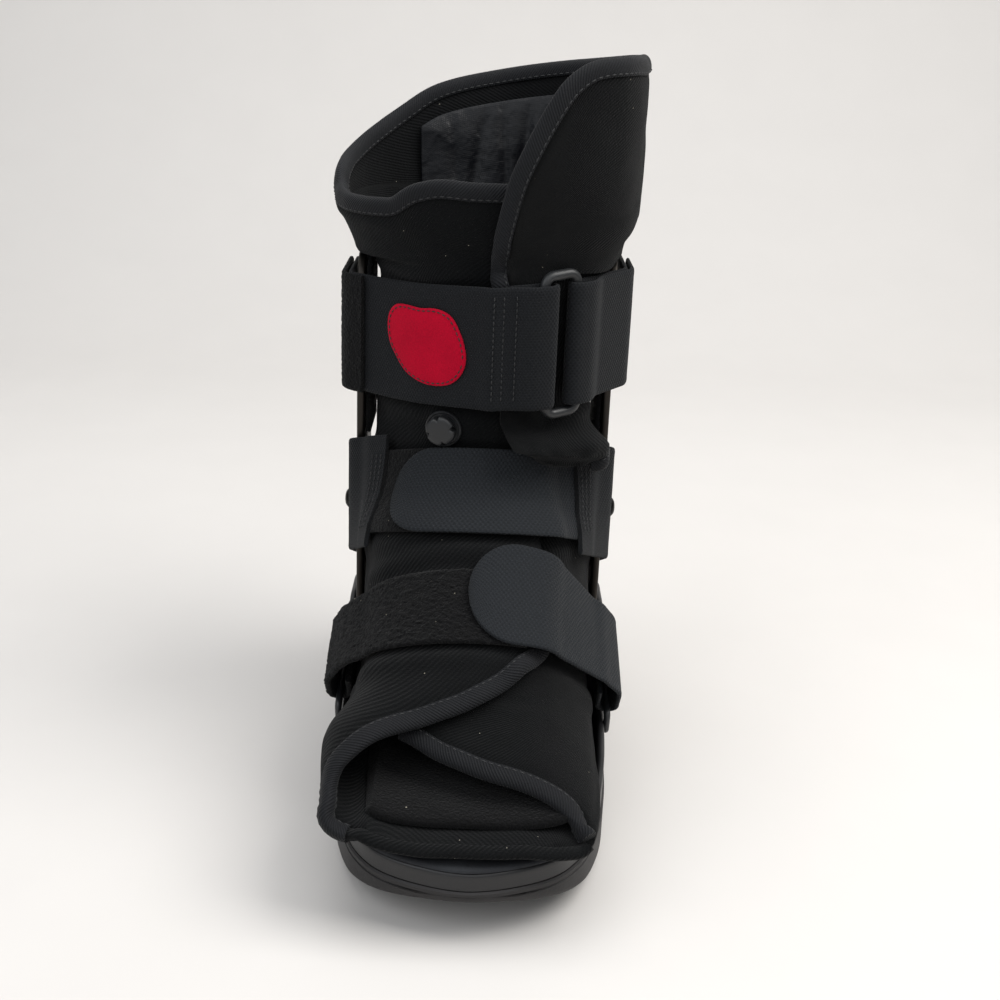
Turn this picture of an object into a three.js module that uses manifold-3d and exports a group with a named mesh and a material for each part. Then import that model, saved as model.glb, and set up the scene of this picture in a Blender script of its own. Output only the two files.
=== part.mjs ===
// A short medical walking boot: a rocker sole and footplate, two side struts, a padded wrap-round liner,
// three strap closures, an air cell with its pump patch, and a release valve whose knob turns.
// Millimetres, +Z up, toe towards -Y. The model is drawn with y = 0 at the struts and z = 0 at the floor,
// and the finished group is moved so that its origin is at the bottom centre of its bounding box.
import * as THREE from 'three';
import { mergeVertices } from 'three/addons/utils/BufferGeometryUtils.js';
import Module from 'manifold-3d';

const wasm = await Module();
wasm.setup();

// Driving dimensions
const bootHeight = 302; // floor to the highest corner of the liner
const soleLength = 270;
const soleWidth = 112;
const soleThickness = 22; // floor to the footplate's underside
const toeRise = 0.686; // share of the sole's length that lies in front of the struts
const calfWidth = 94; // across the liner where the calf strap lies
const calfDepth = 104; // front to back there

const linerThickness = 6; // foam wall with fabric on both faces
const webThickness = 2; // strap webbing
const layerGap = 0.7; // between two layers that lie on each other
const seatGap = 0.35; // between two rigid pieces that touch
const bindingRadius = 3; // rolled tape on the liner's edges
const airCellThickness = 5;
const calfStrapWidth = 50;
const ankleStrapWidth = 37;
const ankleBaseWidth = 50;
const footStrapWidth = 37;
const footTabWidth = 44;
const ankleStrapRise = 24; // degrees above level, towards the front
const strapSlant = 1.05; // height at the struts of a strap that rises so, as a share of its width
const footSlotForward = 60; // from the struts to the middle of the slots

const plateThickness = 4;
const plateWall = 3;
const padThickness = 4.5;
const insoleThickness = 5;

const strutWidth = 36;
const strutThickness = 3.5;
const strutInset = 4.5; // from the sole's widest edge, or out from the calf, to a strut's inner face
const strutReach = 6; // of the struts above the calf strap
const strutLift = 7.65; // of the struts' lower ends above the footplate
const strutPadThickness = 2.2;
const strutPadReach = 21; // of the pads below the calf strap
const earHeight = 28; // of the footplate's wall above the struts' lower ends
const slotDrop = 12; // from the top of that wall to the foot strap's slots

const ringWire = 4.2;
const ringWindow = 9; // clear width of the ring between its long bars
const ringReach = 5.5; // of the ring above and below its strap
const knobRadius = 6.3;
const knobHeight = 4;
const collarRadius = 7.8;
const collarHeight = 2.4;
const patchThickness = 1.6;
const rivetRadius = 4.6;
const rivetHeight = 2.6;
const valveGap = 0.8; // from the valve's collar to the ankle strap

// Heights that follow from the pieces that lie on each other
const plateTop = soleThickness + seatGap + plateThickness;
const linerBase = plateTop + seatGap + padThickness;
const linerHeight = bootHeight - linerBase;
const STRAP_HEIGHTS = { calf: 0.579, ankle: 0.2725 }; // of the straps' middles, as shares of the liner's height
const calfStrapHeight = linerBase + STRAP_HEIGHTS.calf * linerHeight;
const ankleStrapHeight = linerBase + STRAP_HEIGHTS.ankle * linerHeight; // at the struts
const strutSpacing = Math.max(soleWidth - 2 * strutInset, calfWidth + 2 * strutInset); // between their inner faces
const strutTop = calfStrapHeight + calfStrapWidth / 2 + strutReach;
const strutPadBottom = calfStrapHeight - calfStrapWidth / 2 - strutPadReach;
const strutFoot = plateTop + strutLift;
const earTop = strutFoot + earHeight;
const footSlotHeight = earTop - slotDrop;

// Shares of the sole's length and half width, from the toe tip to the back of the heel
const SOLE_OUTLINE = [
  { along: 0, half: 0 },
  { along: 0.018, half: 0.366 },
  { along: 0.047, half: 0.607 },
  { along: 0.088, half: 0.757 },
  { along: 0.125, half: 0.83 },
  { along: 0.2, half: 0.92 },
  { along: 0.28, half: 0.972 },
  { along: 0.38, half: 0.998 },
  { along: 0.5, half: 0.998 },
  { along: 0.62, half: 0.975 },
  { along: 0.74, half: 0.92 },
  { along: 0.85, half: 0.81 },
  { along: 0.93, half: 0.62 },
  { along: 0.98, half: 0.35 },
  { along: 1, half: 0 },
];

// Rise of the outsole's underside as a share of its thickness, along the sole
const ROCKER = [
  { along: 0, rise: 0.86 },
  { along: 0.06, rise: 0.6 },
  { along: 0.15, rise: 0.3 },
  { along: 0.25, rise: 0.1 },
  { along: 0.34, rise: 0 },
  { along: 0.82, rise: 0 },
  { along: 0.92, rise: 0.14 },
  { along: 1, rise: 0.42 },
];

// Height of the footplate's rim above the plate's top, as a share of the ear's height there
const PLATE_WALL = [
  { along: 0, height: 0.08 },
  { along: 0.12, height: 0.1 },
  { along: 0.22, height: 0.2 },
  { along: 0.34, height: 0.36 },
  { along: 0.42, height: 0.45 },
  { along: 0.55, height: 0.5 },
  { along: 0.61, height: 0.85 },
  { along: 0.66, height: 1 },
  { along: 0.72, height: 1 },
  { along: 0.77, height: 0.9 },
  { along: 0.86, height: 0.5 },
  { along: 1, height: 0.42 },
];

// Sections through the liner's outer surface, from the rim down the calf and along the foot.
// frontY and backY are shares of the calf's depth down to the shin, and of the sole's length below it.
// frontZ and backZ are shares of the liner's height above the sole pad. half is a share of half the calf's width or, from the
// ankle down, of half the sole's width. shift moves a section sideways, as a share of the calf's width.
const SECTIONS = [
  { at: 'rim', frontY: -0.6, frontZ: 1.0223, backY: 0.69, backZ: 1.0223, half: 1.4, shift: -0.02, front: 2.3, back: 2.3 },
  { at: 'collar', frontY: -0.56, frontZ: 0.8528, backY: 0.66, backZ: 0.8818, half: 1.4, shift: -0.02, front: 2.3, back: 2.3 },
  { at: 'flare', frontY: -0.5, frontZ: 0.7636, backY: 0.62, backZ: 0.777, half: 1.38, shift: -0.015, front: 2.3, back: 2.3 },
  { at: 'calf', frontY: -0.465, frontZ: 0.6989, backY: 0.58, backZ: 0.7045, half: 1.02, shift: 0, front: 2.3, back: 2.3 },
  { at: 'shin', frontY: -0.45, frontZ: 0.5495, backY: 0.56, backZ: 0.5127, half: 1, shift: 0, front: 2.2, back: 2.2 },
  { at: 'low', frontY: -0.17, frontZ: 0.439, backY: 0.21, backZ: 0.3465, half: 0.85, shift: 0, front: 2.2, back: 2.3 },
  { at: 'ankle', frontY: -0.219, frontZ: 0.3387, backY: 0.235, backZ: 0.1803, half: 0.89, shift: 0, front: 2.2, back: 2.5 },
  { at: 'instep', frontY: -0.3, frontZ: 0.2684, backY: 0.25, backZ: 0.0799, half: 0.88, shift: 0, front: 2.2, back: 2.8 },
  { at: 'heel', frontY: -0.372, frontZ: 0.2249, backY: 0.19, backZ: 0.0097, half: 0.87, shift: 0, front: 2.2, back: 2.9 },
  { at: 'waist', frontY: -0.445, frontZ: 0.1803, backY: -0.11, backZ: 0.0052, half: 0.86, shift: 0, front: 2.3, back: 3 },
  { at: 'ball', frontY: -0.518, frontZ: 0.1357, backY: -0.365, backZ: 0.0052, half: 0.86, shift: 0, front: 2.4, back: 3.1 },
  { at: 'toe', frontY: -0.57, frontZ: 0.1023, backY: -0.62, backZ: 0.0052, half: 0.8, shift: 0, front: 2.6, back: 3.1 },
];

// Edges of the calf wrap. angle runs from the left flap's hidden edge, round the back, to the right flap's edge:
// 0 is the front, -90 the left, -180 the back, -270 the right. top and bottom are places among the sections.
const CALF_WRAP = [
  { angle: 36, top: 1.5, bottom: 5.55 },
  { angle: -2, top: 1.5, bottom: 5.58 },
  { angle: -14, top: 1.46, bottom: 5.59 },
  { angle: -23, top: 1.55, bottom: 5.6 },
  { angle: -35, top: 1.9, bottom: 5.62 },
  { angle: -60, top: 1.96, bottom: 5.65 },
  { angle: -78, top: 1.9, bottom: 5.8 },
  { angle: -92, top: 1.66, bottom: 5.92 },
  { angle: -112, top: 1.5, bottom: 6.2 },
  { angle: -140, top: 1.1, bottom: 6.5 },
  { angle: -160, top: 0.75, bottom: 6.62 },
  { angle: -180, top: 0.6, bottom: 6.7 },
  { angle: -220, top: 0.5, bottom: 6.5 },
  { angle: -250, top: 0.45, bottom: 6.2 },
  { angle: -267, top: 0.36, bottom: 5.85 },
  { angle: -277, top: 0.3, bottom: 4.9 },
  { angle: -302, top: 0.24, bottom: 4.88 },
  { angle: -316, top: 0.22, bottom: 4.95 },
  { angle: -323, top: 0.24, bottom: 5.28 },
  { angle: -331, top: 0.33, bottom: 5.34 },
  { angle: -339, top: 0.58, bottom: 5.36 },
  { angle: -347, top: 1.02, bottom: 5.36 },
  { angle: -352, top: 2.1, bottom: 5.3 },
];

// Edges of the foot wrap, from the left flap's edge under the sole to the right flap's hidden edge
const FOOT_WRAP = [
  { angle: 26, top: 5.68, bottom: 8.65 },
  { angle: 13, top: 5.68, bottom: 9.13 },
  { angle: 0, top: 5.69, bottom: 9.48 },
  { angle: -28, top: 5.7, bottom: 10.02 },
  { angle: -54, top: 5.74, bottom: 10.59 },
  { angle: -78, top: 5.88, bottom: 10.8 },
  { angle: -92, top: 6.02, bottom: 10.94 },
  { angle: -112, top: 6.3, bottom: 11 },
  { angle: -140, top: 6.6, bottom: 11 },
  { angle: -180, top: 6.8, bottom: 11 },
  { angle: -220, top: 6.6, bottom: 11 },
  { angle: -250, top: 6.3, bottom: 11 },
  { angle: -267, top: 5.95, bottom: 11 },
  { angle: -300, top: 5.72, bottom: 11 },
  { angle: -328, top: 6.4, bottom: 11 },
  { angle: -344, top: 6.5, bottom: 10.95 },
  { angle: -360, top: 6.5, bottom: 10.7 },
  { angle: -376, top: 6.5, bottom: 10.3 },
  { angle: -390, top: 6.5, bottom: 9.98 },
];

// Small helpers

const radians = THREE.MathUtils.degToRad;
const lerp = THREE.MathUtils.lerp;
const ramp = (from, to, x) => {
  const t = THREE.MathUtils.clamp((x - from) / (to - from), 0, 1);
  return t * t * (3 - 2 * t);
};

// A smooth function through one column of a table, monotone between rows so that it never overshoots
function column(rows, key, value) {
  const x = rows.map((r) => r[key]);
  const y = rows.map((r) => r[value]);
  const step = x.slice(1).map((b, i) => b - x[i]);
  const slope = step.map((h, i) => (y[i + 1] - y[i]) / h);
  const tangent = x.map((_, i) => {
    if (i === 0) return slope[0];
    if (i === x.length - 1) return slope[i - 1];
    if (slope[i - 1] * slope[i] <= 0) return 0;
    const before = 2 * step[i] + step[i - 1];
    const after = step[i] + 2 * step[i - 1];
    return (before + after) / (before / slope[i - 1] + after / slope[i]);
  });
  const rising = x[x.length - 1] > x[0];
  return (at) => {
    let i = 0;
    while (i < x.length - 2 && (rising ? at > x[i + 1] : at < x[i + 1])) i++;
    const t = THREE.MathUtils.clamp((at - x[i]) / step[i], 0, 1);
    const t2 = t * t;
    const t3 = t2 * t;
    return (2 * t3 - 3 * t2 + 1) * y[i] + (t3 - 2 * t2 + t) * step[i] * tangent[i]
      + (3 * t2 - 2 * t3) * y[i + 1] + (t3 - t2) * step[i] * tangent[i + 1];
  };
}

// The liner's outer surface

const lastSection = SECTIONS.length - 1;
const sectionRows = SECTIONS.map((r, i) => {
  const calf = i <= 4;
  const depth = calf ? calfDepth : soleLength;
  const width = calf ? calfWidth : soleWidth;
  return {
    place: i,
    fy: r.frontY * depth,
    fz: linerBase + r.frontZ * linerHeight,
    by: r.backY * depth,
    bz: linerBase + r.backZ * linerHeight,
    half: (r.half * width) / 2,
    shift: r.shift * calfWidth,
    front: r.front,
    back: r.back,
  };
});
const sectionColumn = Object.fromEntries(
  ['fy', 'fz', 'by', 'bz', 'half', 'shift', 'front', 'back'].map((k) => [k, column(sectionRows, 'place', k)]),
);

// A point of the surface: place runs along the sections, angle is in degrees from the front, + to the right
function skin(place, angle) {
  const c = sectionColumn;
  const fy = c.fy(place);
  const fz = c.fz(place);
  const by = c.by(place);
  const bz = c.bz(place);
  const cos = Math.cos(radians(angle));
  const sin = Math.sin(radians(angle));
  const power = cos > 0 ? c.front(place) : c.back(place);
  const reach = (Math.abs(cos) ** power + Math.abs(sin) ** power) ** (-1 / power);
  return new THREE.Vector3(
    c.shift(place) + c.half(place) * sin * reach,
    (fy + by) / 2 + ((fy - by) / 2) * cos * reach,
    (fz + bz) / 2 + ((fz - bz) / 2) * cos * reach,
  );
}

function skinNormal(place, angle) {
  const low = Math.max(place - 0.02, 0);
  const high = Math.min(place + 0.02, lastSection);
  const along = skin(high, angle).sub(skin(low, angle));
  const round = skin(place, angle + 0.5).sub(skin(place, angle - 0.5));
  return along.cross(round).normalize();
}

// The surface moved outward by a distance
const layer = (place, angle, off) => skin(place, angle).addScaledVector(skinNormal(place, angle), off);

// Geometry builders

function geometryOf(points, faces) {
  const g = new THREE.BufferGeometry();
  g.setAttribute('position', new THREE.Float32BufferAttribute(points.flatMap((p) => [p.x, p.y, p.z]), 3));
  g.setIndex(faces);
  return g;
}

// A closed sheet: point(u, v, side) gives its outer face at side 1 and its inner face at side 0
function sheet(across, along, point) {
  const points = [];
  const faces = [];
  const at = (i, j, side) => (side * (across + 1) + i) * (along + 1) + j;
  for (const side of [0, 1]) {
    for (let i = 0; i <= across; i++) {
      for (let j = 0; j <= along; j++) points.push(point(i / across, j / along, side));
    }
  }
  const quad = (a, b, c, d) => faces.push(a, b, c, a, c, d);
  for (let i = 0; i < across; i++) {
    for (let j = 0; j < along; j++) {
      quad(at(i, j, 1), at(i, j + 1, 1), at(i + 1, j + 1, 1), at(i + 1, j, 1));
      quad(at(i, j, 0), at(i + 1, j, 0), at(i + 1, j + 1, 0), at(i, j + 1, 0));
    }
    quad(at(i, 0, 0), at(i, 0, 1), at(i + 1, 0, 1), at(i + 1, 0, 0));
    quad(at(i, along, 0), at(i + 1, along, 0), at(i + 1, along, 1), at(i, along, 1));
  }
  for (let j = 0; j < along; j++) {
    quad(at(0, j, 0), at(0, j + 1, 0), at(0, j + 1, 1), at(0, j, 1));
    quad(at(across, j, 0), at(across, j, 1), at(across, j + 1, 1), at(across, j + 1, 0));
  }
  return facingOut(geometryOf(points, faces));
}

// A bar swept through frames: each frame holds a centre and two half axes, and sides is the section's corner count
function sweep(frames, sides, closed = false) {
  const points = [];
  const faces = [];
  for (const f of frames) {
    for (let k = 0; k < sides; k++) {
      const t = (2 * Math.PI * (k + 0.5)) / sides;
      points.push(f.centre.clone().addScaledVector(f.a, Math.cos(t)).addScaledVector(f.b, Math.sin(t)));
    }
  }
  const rings = frames.length;
  for (let i = 0; i < (closed ? rings : rings - 1); i++) {
    const j = (i + 1) % rings;
    for (let k = 0; k < sides; k++) {
      const m = (k + 1) % sides;
      faces.push(i * sides + k, i * sides + m, j * sides + m, i * sides + k, j * sides + m, j * sides + k);
    }
  }
  if (!closed) {
    for (let k = 1; k < sides - 1; k++) {
      faces.push(0, k + 1, k);
      faces.push((rings - 1) * sides, (rings - 1) * sides + k, (rings - 1) * sides + k + 1);
    }
  }
  return facingOut(geometryOf(points, faces));
}

function signedVolume(g) {
  const p = g.getAttribute('position');
  const at = (i) => new THREE.Vector3().fromBufferAttribute(p, g.index.getX(i));
  let volume = 0;
  for (let i = 0; i < g.index.count; i += 3) volume += at(i).dot(at(i + 1).cross(at(i + 2))) / 6;
  return volume;
}

function facingOut(g) {
  if (signedVolume(g) >= 0) return g;
  const index = g.index.array;
  for (let i = 0; i < index.length; i += 3) [index[i + 1], index[i + 2]] = [index[i + 2], index[i + 1]];
  return g;
}

// A stack of outlines with the same even number of points, closed at both ends
function loft(outlines) {
  const points = outlines.flat();
  const n = outlines[0].length;
  const faces = [];
  for (let i = 0; i < outlines.length - 1; i++) {
    for (let k = 0; k < n; k++) {
      const m = (k + 1) % n;
      faces.push(i * n + k, i * n + m, (i + 1) * n + m, i * n + k, (i + 1) * n + m, (i + 1) * n + k);
    }
  }
  // Each end is closed by strips across it, which follow a curved end better than a fan does
  const cap = (start, turned) => {
    for (let i = 0; i < n / 2; i++) {
      const [a, b, c, d] = [i, i + 1, n - i - 1, (n - i) % n].map((k) => start + k);
      for (const t of [[a, b, c], [a, c, d]]) {
        if (new Set(t).size === 3) faces.push(...(turned ? [t[0], t[2], t[1]] : t));
      }
    }
  };
  cap(0, true);
  cap((outlines.length - 1) * n, false);
  return facingOut(geometryOf(points, faces));
}

function solid(geometry) {
  const g = geometry.clone();
  g.deleteAttribute('normal');
  g.deleteAttribute('uv');
  const merged = mergeVertices(g, 1e-4);
  return new wasm.Manifold(new wasm.Mesh({
    numProp: 3,
    vertProperties: new Float32Array(merged.attributes.position.array),
    triVerts: new Uint32Array(merged.index.array),
  }));
}

function geometryFrom(body) {
  const m = body.getMesh();
  const g = new THREE.BufferGeometry();
  const n = m.numProp;
  const position = new Float32Array(m.numVert * 3);
  for (let i = 0; i < m.numVert; i++) position.set(m.vertProperties.subarray(i * n, i * n + 3), i * 3);
  g.setAttribute('position', new THREE.BufferAttribute(position, 3));
  g.setIndex(new THREE.BufferAttribute(new Uint32Array(m.triVerts), 1));
  return g;
}

const box = (sx, sy, sz, x, y, z) => new THREE.BoxGeometry(sx, sy, sz).translate(x, y, z);
const mirrored = (g) => facingOut(g.clone().applyMatrix4(new THREE.Matrix4().makeScale(-1, 1, 1)));

const finish = {
  rubber: { color: 0x1c1c1e, roughness: 0.75, metalness: 0 },
  plastic: { color: 0x202124, roughness: 0.45, metalness: 0 },
  foam: { color: 0x35373a, roughness: 0.9, metalness: 0 },
  aluminium: { color: 0x4c4e52, roughness: 0.35, metalness: 0.8 },
  loop: { color: 0x141518, roughness: 1, metalness: 0 },
  tape: { color: 0x2b2c30, roughness: 0.85, metalness: 0 },
  webbing: { color: 0x2c2f33, roughness: 0.9, metalness: 0 },
  felt: { color: 0xb01030, roughness: 1, metalness: 0 },
  nylon: { color: 0x181c26, roughness: 0.4, metalness: 0 },
};

const boot = new THREE.Group();
function add(name, geometry, look, parent = boot) {
  const mesh = new THREE.Mesh(geometry, new THREE.MeshStandardMaterial(finish[look]));
  mesh.name = name;
  parent.add(mesh);
  return mesh;
}

// Sole and footplate

const toeY = -toeRise * soleLength;
const alongAt = (y) => (y - toeY) / soleLength;
const outlineCurve = (() => {
  const right = SOLE_OUTLINE.map((r) => [(r.half * soleWidth) / 2, toeY + r.along * soleLength]);
  const left = right.slice(1, -1).reverse().map(([x, y]) => [-x, y]);
  const points = [...right, ...left].map(([x, y]) => new THREE.Vector3(x, y, 0));
  return new THREE.CatmullRomCurve3(points, true, 'centripetal');
})();
const outlineCount = 48;

// The sole's outline at a height, moved inwards by a distance
function outline(inset, height, count = outlineCount) {
  const ring = [];
  for (let i = 0; i < count; i++) {
    const p = outlineCurve.getPointAt(i / count);
    const t = outlineCurve.getTangentAt(i / count);
    const inward = new THREE.Vector3(-t.y, t.x, 0);
    const q = p.addScaledVector(inward, inset);
    q.z = typeof height === 'function' ? height(alongAt(q.y)) : height;
    ring.push(q);
  }
  return ring;
}

const rockerRise = column(ROCKER, 'along', 'rise');
const undersideOf = (along) => rockerRise(THREE.MathUtils.clamp(along, 0, 1)) * soleThickness;

function outsole() {
  const bevel = 2.5;
  const body = solid(loft([
    outline(bevel, undersideOf),
    outline(0, (a) => undersideOf(a) + bevel * 0.6),
    outline(0, soleThickness - bevel * 0.4),
    outline(bevel * 0.4, soleThickness),
  ]));
  const grooveCount = 9;
  const grooveDepth = 2.2;
  const grooveWidth = 3.5;
  const first = toeY + 0.3 * soleLength;
  const pitch = (0.56 * soleLength) / (grooveCount - 1);
  let cut = body;
  for (let i = 0; i < grooveCount; i++) {
    if (i === Math.floor(grooveCount / 2)) continue;
    const y = first + i * pitch;
    cut = cut.subtract(solid(box(soleWidth * 2, grooveWidth, grooveDepth * 2, 0, y, undersideOf(alongAt(y)))));
  }
  return geometryFrom(cut);
}

// The footplate's wall leans out from the plate's edge to the struts' outer faces
const strutOuter = strutSpacing / 2 + strutThickness;
const wallShare = column(PLATE_WALL, 'along', 'height');
const plateInset = 0.8;
function footplate() {
  const wallHeight = earTop - plateTop;
  const base = solid(loft([outline(plateInset, soleThickness + seatGap), outline(plateInset, plateTop)]));
  const count = 52;
  const rim = outline(plateInset, 0, count);
  const inner = outline(plateInset + plateWall, 0, count);
  const lean = (p, out, z) => {
    const q = p.clone();
    const near = ramp(strutWidth * 0.98, strutWidth * 0.66, Math.abs(q.y));
    const rise = ramp(soleThickness, strutFoot - 1, z) * near;
    q.x = lerp(q.x, Math.sign(q.x) * (strutOuter + seatGap + (out ? plateWall : 0)), rise);
    q.z = z;
    return q;
  };
  const shares = [0, 0.1, 0.27, 0.6, 1];
  const levels = shares.length - 1;
  const points = [];
  const faces = [];
  for (const [side, ring] of [[1, rim], [0, inner]]) {
    for (let i = 0; i < count; i++) {
      const top = wallShare(THREE.MathUtils.clamp(alongAt(rim[i].y), 0, 1)) * wallHeight;
      for (let j = 0; j <= levels; j++) {
        points.push(lean(ring[i], side, lerp(soleThickness + seatGap, plateTop + top, shares[j])));
      }
    }
  }
  const at = (i, j, side) => ((side ? 0 : count) + (i % count)) * (levels + 1) + j;
  const quad = (a, b, c, d) => faces.push(a, b, c, a, c, d);
  for (let i = 0; i < count; i++) {
    for (let j = 0; j < levels; j++) {
      quad(at(i, j, 1), at(i + 1, j, 1), at(i + 1, j + 1, 1), at(i, j + 1, 1));
      quad(at(i, j, 0), at(i, j + 1, 0), at(i + 1, j + 1, 0), at(i + 1, j, 0));
    }
    quad(at(i, levels, 1), at(i + 1, levels, 1), at(i + 1, levels, 0), at(i, levels, 0));
    quad(at(i, 0, 1), at(i, 0, 0), at(i + 1, 0, 0), at(i + 1, 0, 1));
  }
  return geometryFrom(base.add(solid(facingOut(geometryOf(points, faces)))));
}

const padOutline = plateInset + plateWall + seatGap;
const solePad = () => loft([
  outline(padOutline, plateTop + seatGap),
  outline(padOutline, plateTop + seatGap + padThickness - 1),
  outline(padOutline + 1, plateTop + seatGap + padThickness),
]);

// Struts

const strutRow = (z) => {
  const half = z > strutTop - strutWidth * 0.3
    ? (strutWidth / 2) * Math.sqrt(1 - ((z - strutTop + strutWidth * 0.3) / (strutWidth * 0.3)) ** 2 * 0.72)
    : strutWidth / 2;
  return half;
};
function strutBar(inner, outer, bottom, top, margin = 0) {
  const rows = 9;
  const levels = [];
  for (let i = 0; i <= rows; i++) levels.push(lerp(bottom, top, i / rows));
  levels.splice(rows, 0, lerp(bottom, top, 0.975));
  const outlines = levels.map((z) => {
    const half = strutRow(z) - margin;
    return [[inner, -half], [outer, -half], [outer, half], [inner, half]].map(([x, y]) => new THREE.Vector3(x, y, z));
  });
  return loft(outlines);
}
const strut = () => strutBar(strutSpacing / 2, strutOuter, strutFoot, strutTop);
const strutPad = () => strutBar(
  strutSpacing / 2 - seatGap - strutPadThickness, strutSpacing / 2 - seatGap, strutPadBottom, strutTop - 8, 1.5,
);

// Liner wraps

// The right calf flap lies over the left one, and its lower corner lies over the ankle strap
const overlap = linerThickness + 1.3;
const strapStack = 2 * (webThickness + layerGap);
function calfLift(place, angle) {
  const over = overlap * ramp(-285, -318, angle);
  const draped = (strapStack + 2.7) * ramp(-290, -308, angle) * ramp(4.62, 4.98, place);
  return over + draped;
}
const calfTop = column(CALF_WRAP, 'angle', 'top');
const calfBottom = column(CALF_WRAP, 'angle', 'bottom');
const WRAP_COLUMNS = 44;
const FOOT_ROWS = 6;
const WRAP_ROWS = [0, 0.16, 0.34, 0.52, 0.68, 0.81, 0.87, 0.93, 1]; // closer together where the tail drapes
function calfWrap() {
  return sheet(WRAP_COLUMNS, WRAP_ROWS.length - 1, (u, v, side) => {
    const angle = lerp(CALF_WRAP[0].angle, CALF_WRAP[CALF_WRAP.length - 1].angle, u);
    const place = lerp(calfTop(angle), calfBottom(angle), WRAP_ROWS[Math.round(v * (WRAP_ROWS.length - 1))]);
    return calfPoint(place, angle, side ? 0 : -linerThickness);
  });
}

// The left foot flap lies over the right one and bulges at the ball of the foot
const footTop = column(FOOT_WRAP, 'angle', 'top');
const footBottom = column(FOOT_WRAP, 'angle', 'bottom');
const bulge = 10;
function footLift(place, angle) {
  const over = overlap * ramp(-72, -38, angle) * ramp(5.68, 6.4, place);
  const out = bulge * ramp(9.2, 10.3, place) * ramp(-20, -70, angle) * ramp(-128, -98, angle);
  return over + out;
}
const footPoint = (place, angle, off) => layer(place, angle, footLift(place, angle) + off);
const calfPoint = (place, angle, off) => layer(place, angle, calfLift(place, angle) + off);
function footWrap() {
  return sheet(WRAP_COLUMNS, FOOT_ROWS, (u, v, side) => {
    const angle = lerp(FOOT_WRAP[0].angle, FOOT_WRAP[FOOT_WRAP.length - 1].angle, u);
    const place = lerp(footTop(angle), footBottom(angle), v);
    return footPoint(place, angle, side ? 0 : -linerThickness);
  });
}

// Bindings: a rolled tape that runs outside an edge of a wrap

// runs is a list of lists of {edge, inside, normal}. reach is the tape's distance from the edge.
function binding(runs, reach) {
  const frames = [];
  const outs = runs.map((run) => run.map((p, i) => {
    const t = run[Math.min(i + 1, run.length - 1)].edge.clone().sub(run[Math.max(i - 1, 0)].edge).normalize();
    const out = p.edge.clone().sub(p.inside);
    return out.addScaledVector(t, -out.dot(t)).normalize();
  }));
  const put = (edge, out, normal) => frames.push({ centre: edge.clone().addScaledVector(out, reach), out, normal });
  runs.forEach((run, k) => {
    run.forEach((p, i) => put(p.edge, outs[k][i], p.normal));
    if (k === runs.length - 1) return;
    const last = run[run.length - 1];
    const from = outs[k][run.length - 1];
    const to = outs[k + 1][0];
    for (const t of [0.25, 0.5, 0.75]) put(last.edge, from.clone().lerp(to, t).normalize(), last.normal);
  });
  const spaced = frames.filter((f, i) => i === 0 || f.centre.distanceTo(frames[i - 1].centre) > 0.4);
  return sweep(spaced.map((f, i) => {
    const t = spaced[Math.min(i + 1, spaced.length - 1)].centre.clone()
      .sub(spaced[Math.max(i - 1, 0)].centre).normalize();
    const b = f.normal.clone().addScaledVector(t, -f.normal.dot(t)).normalize();
    return { centre: f.centre, a: t.clone().cross(b).multiplyScalar(bindingRadius), b: b.multiplyScalar(bindingRadius) };
  }), 6);
}

const evenly = (count) => Array.from({ length: count + 1 }, (_, i) => i / count);

// Points along one edge of a wrap, where point, top and bottom describe that wrap
function edgeRun(point, top, bottom, steps, at) {
  const run = [];
  const half = linerThickness / 2;
  for (const step of steps) {
    const { angle, v, insideAngle, insideV } = at(step);
    const place = lerp(top(angle), bottom(angle), v);
    const insidePlace = lerp(top(insideAngle), bottom(insideAngle), insideV);
    run.push({
      edge: point(place, angle, -half),
      inside: point(insidePlace, insideAngle, -half),
      normal: skinNormal(place, angle),
    });
  }
  return run;
}

function calfBinding() {
  const first = CALF_WRAP[0].angle;
  const last = CALF_WRAP[CALF_WRAP.length - 1].angle;
  const edge = (steps, at) => edgeRun(calfPoint, calfTop, calfBottom, steps, at);
  const rim = edge(evenly(WRAP_COLUMNS), (t) => {
    const angle = lerp(first, last, t);
    return { angle, v: 0, insideAngle: angle, insideV: 0.04 };
  });
  const flap = edge(WRAP_ROWS, (t) => ({ angle: last, v: t, insideAngle: last + 3, insideV: t }));
  const tail = edge(evenly(6), (t) => {
    const angle = lerp(last, -321, t);
    return { angle, v: 1, insideAngle: angle, insideV: 0.96 };
  });
  return binding([rim, flap, tail], bindingRadius + seatGap + 0.7);
}

function footBinding() {
  const first = FOOT_WRAP[0].angle;
  const last = FOOT_WRAP[FOOT_WRAP.length - 1].angle;
  const edge = (steps, at) => edgeRun(footPoint, footTop, footBottom, steps, at);
  const flap = edge(evenly(FOOT_ROWS), (t) => ({ angle: first, v: t, insideAngle: first - 3, insideV: t }));
  const mouth = edge(evenly(WRAP_COLUMNS), (t) => {
    const angle = lerp(first, last, t);
    return { angle, v: 1, insideAngle: angle, insideV: 0.96 };
  });
  return binding([flap, mouth], bindingRadius + seatGap + 0.4);
}

// Linings

const airCell = () => sheet(16, 6, (u, v, side) => {
  const angle = lerp(-120, -238, u);
  return layer(lerp(1.35, 4.4, v), angle, -linerThickness - 2.2 - (side ? 0 : airCellThickness));
});

const insole = () => sheet(10, 6, (u, v, side) => {
  const angle = lerp(-146, -214, u);
  return layer(lerp(8, 10.7, v), angle, -linerThickness - 2.6 - (side ? 0 : insoleThickness));
});

// Straps

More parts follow.
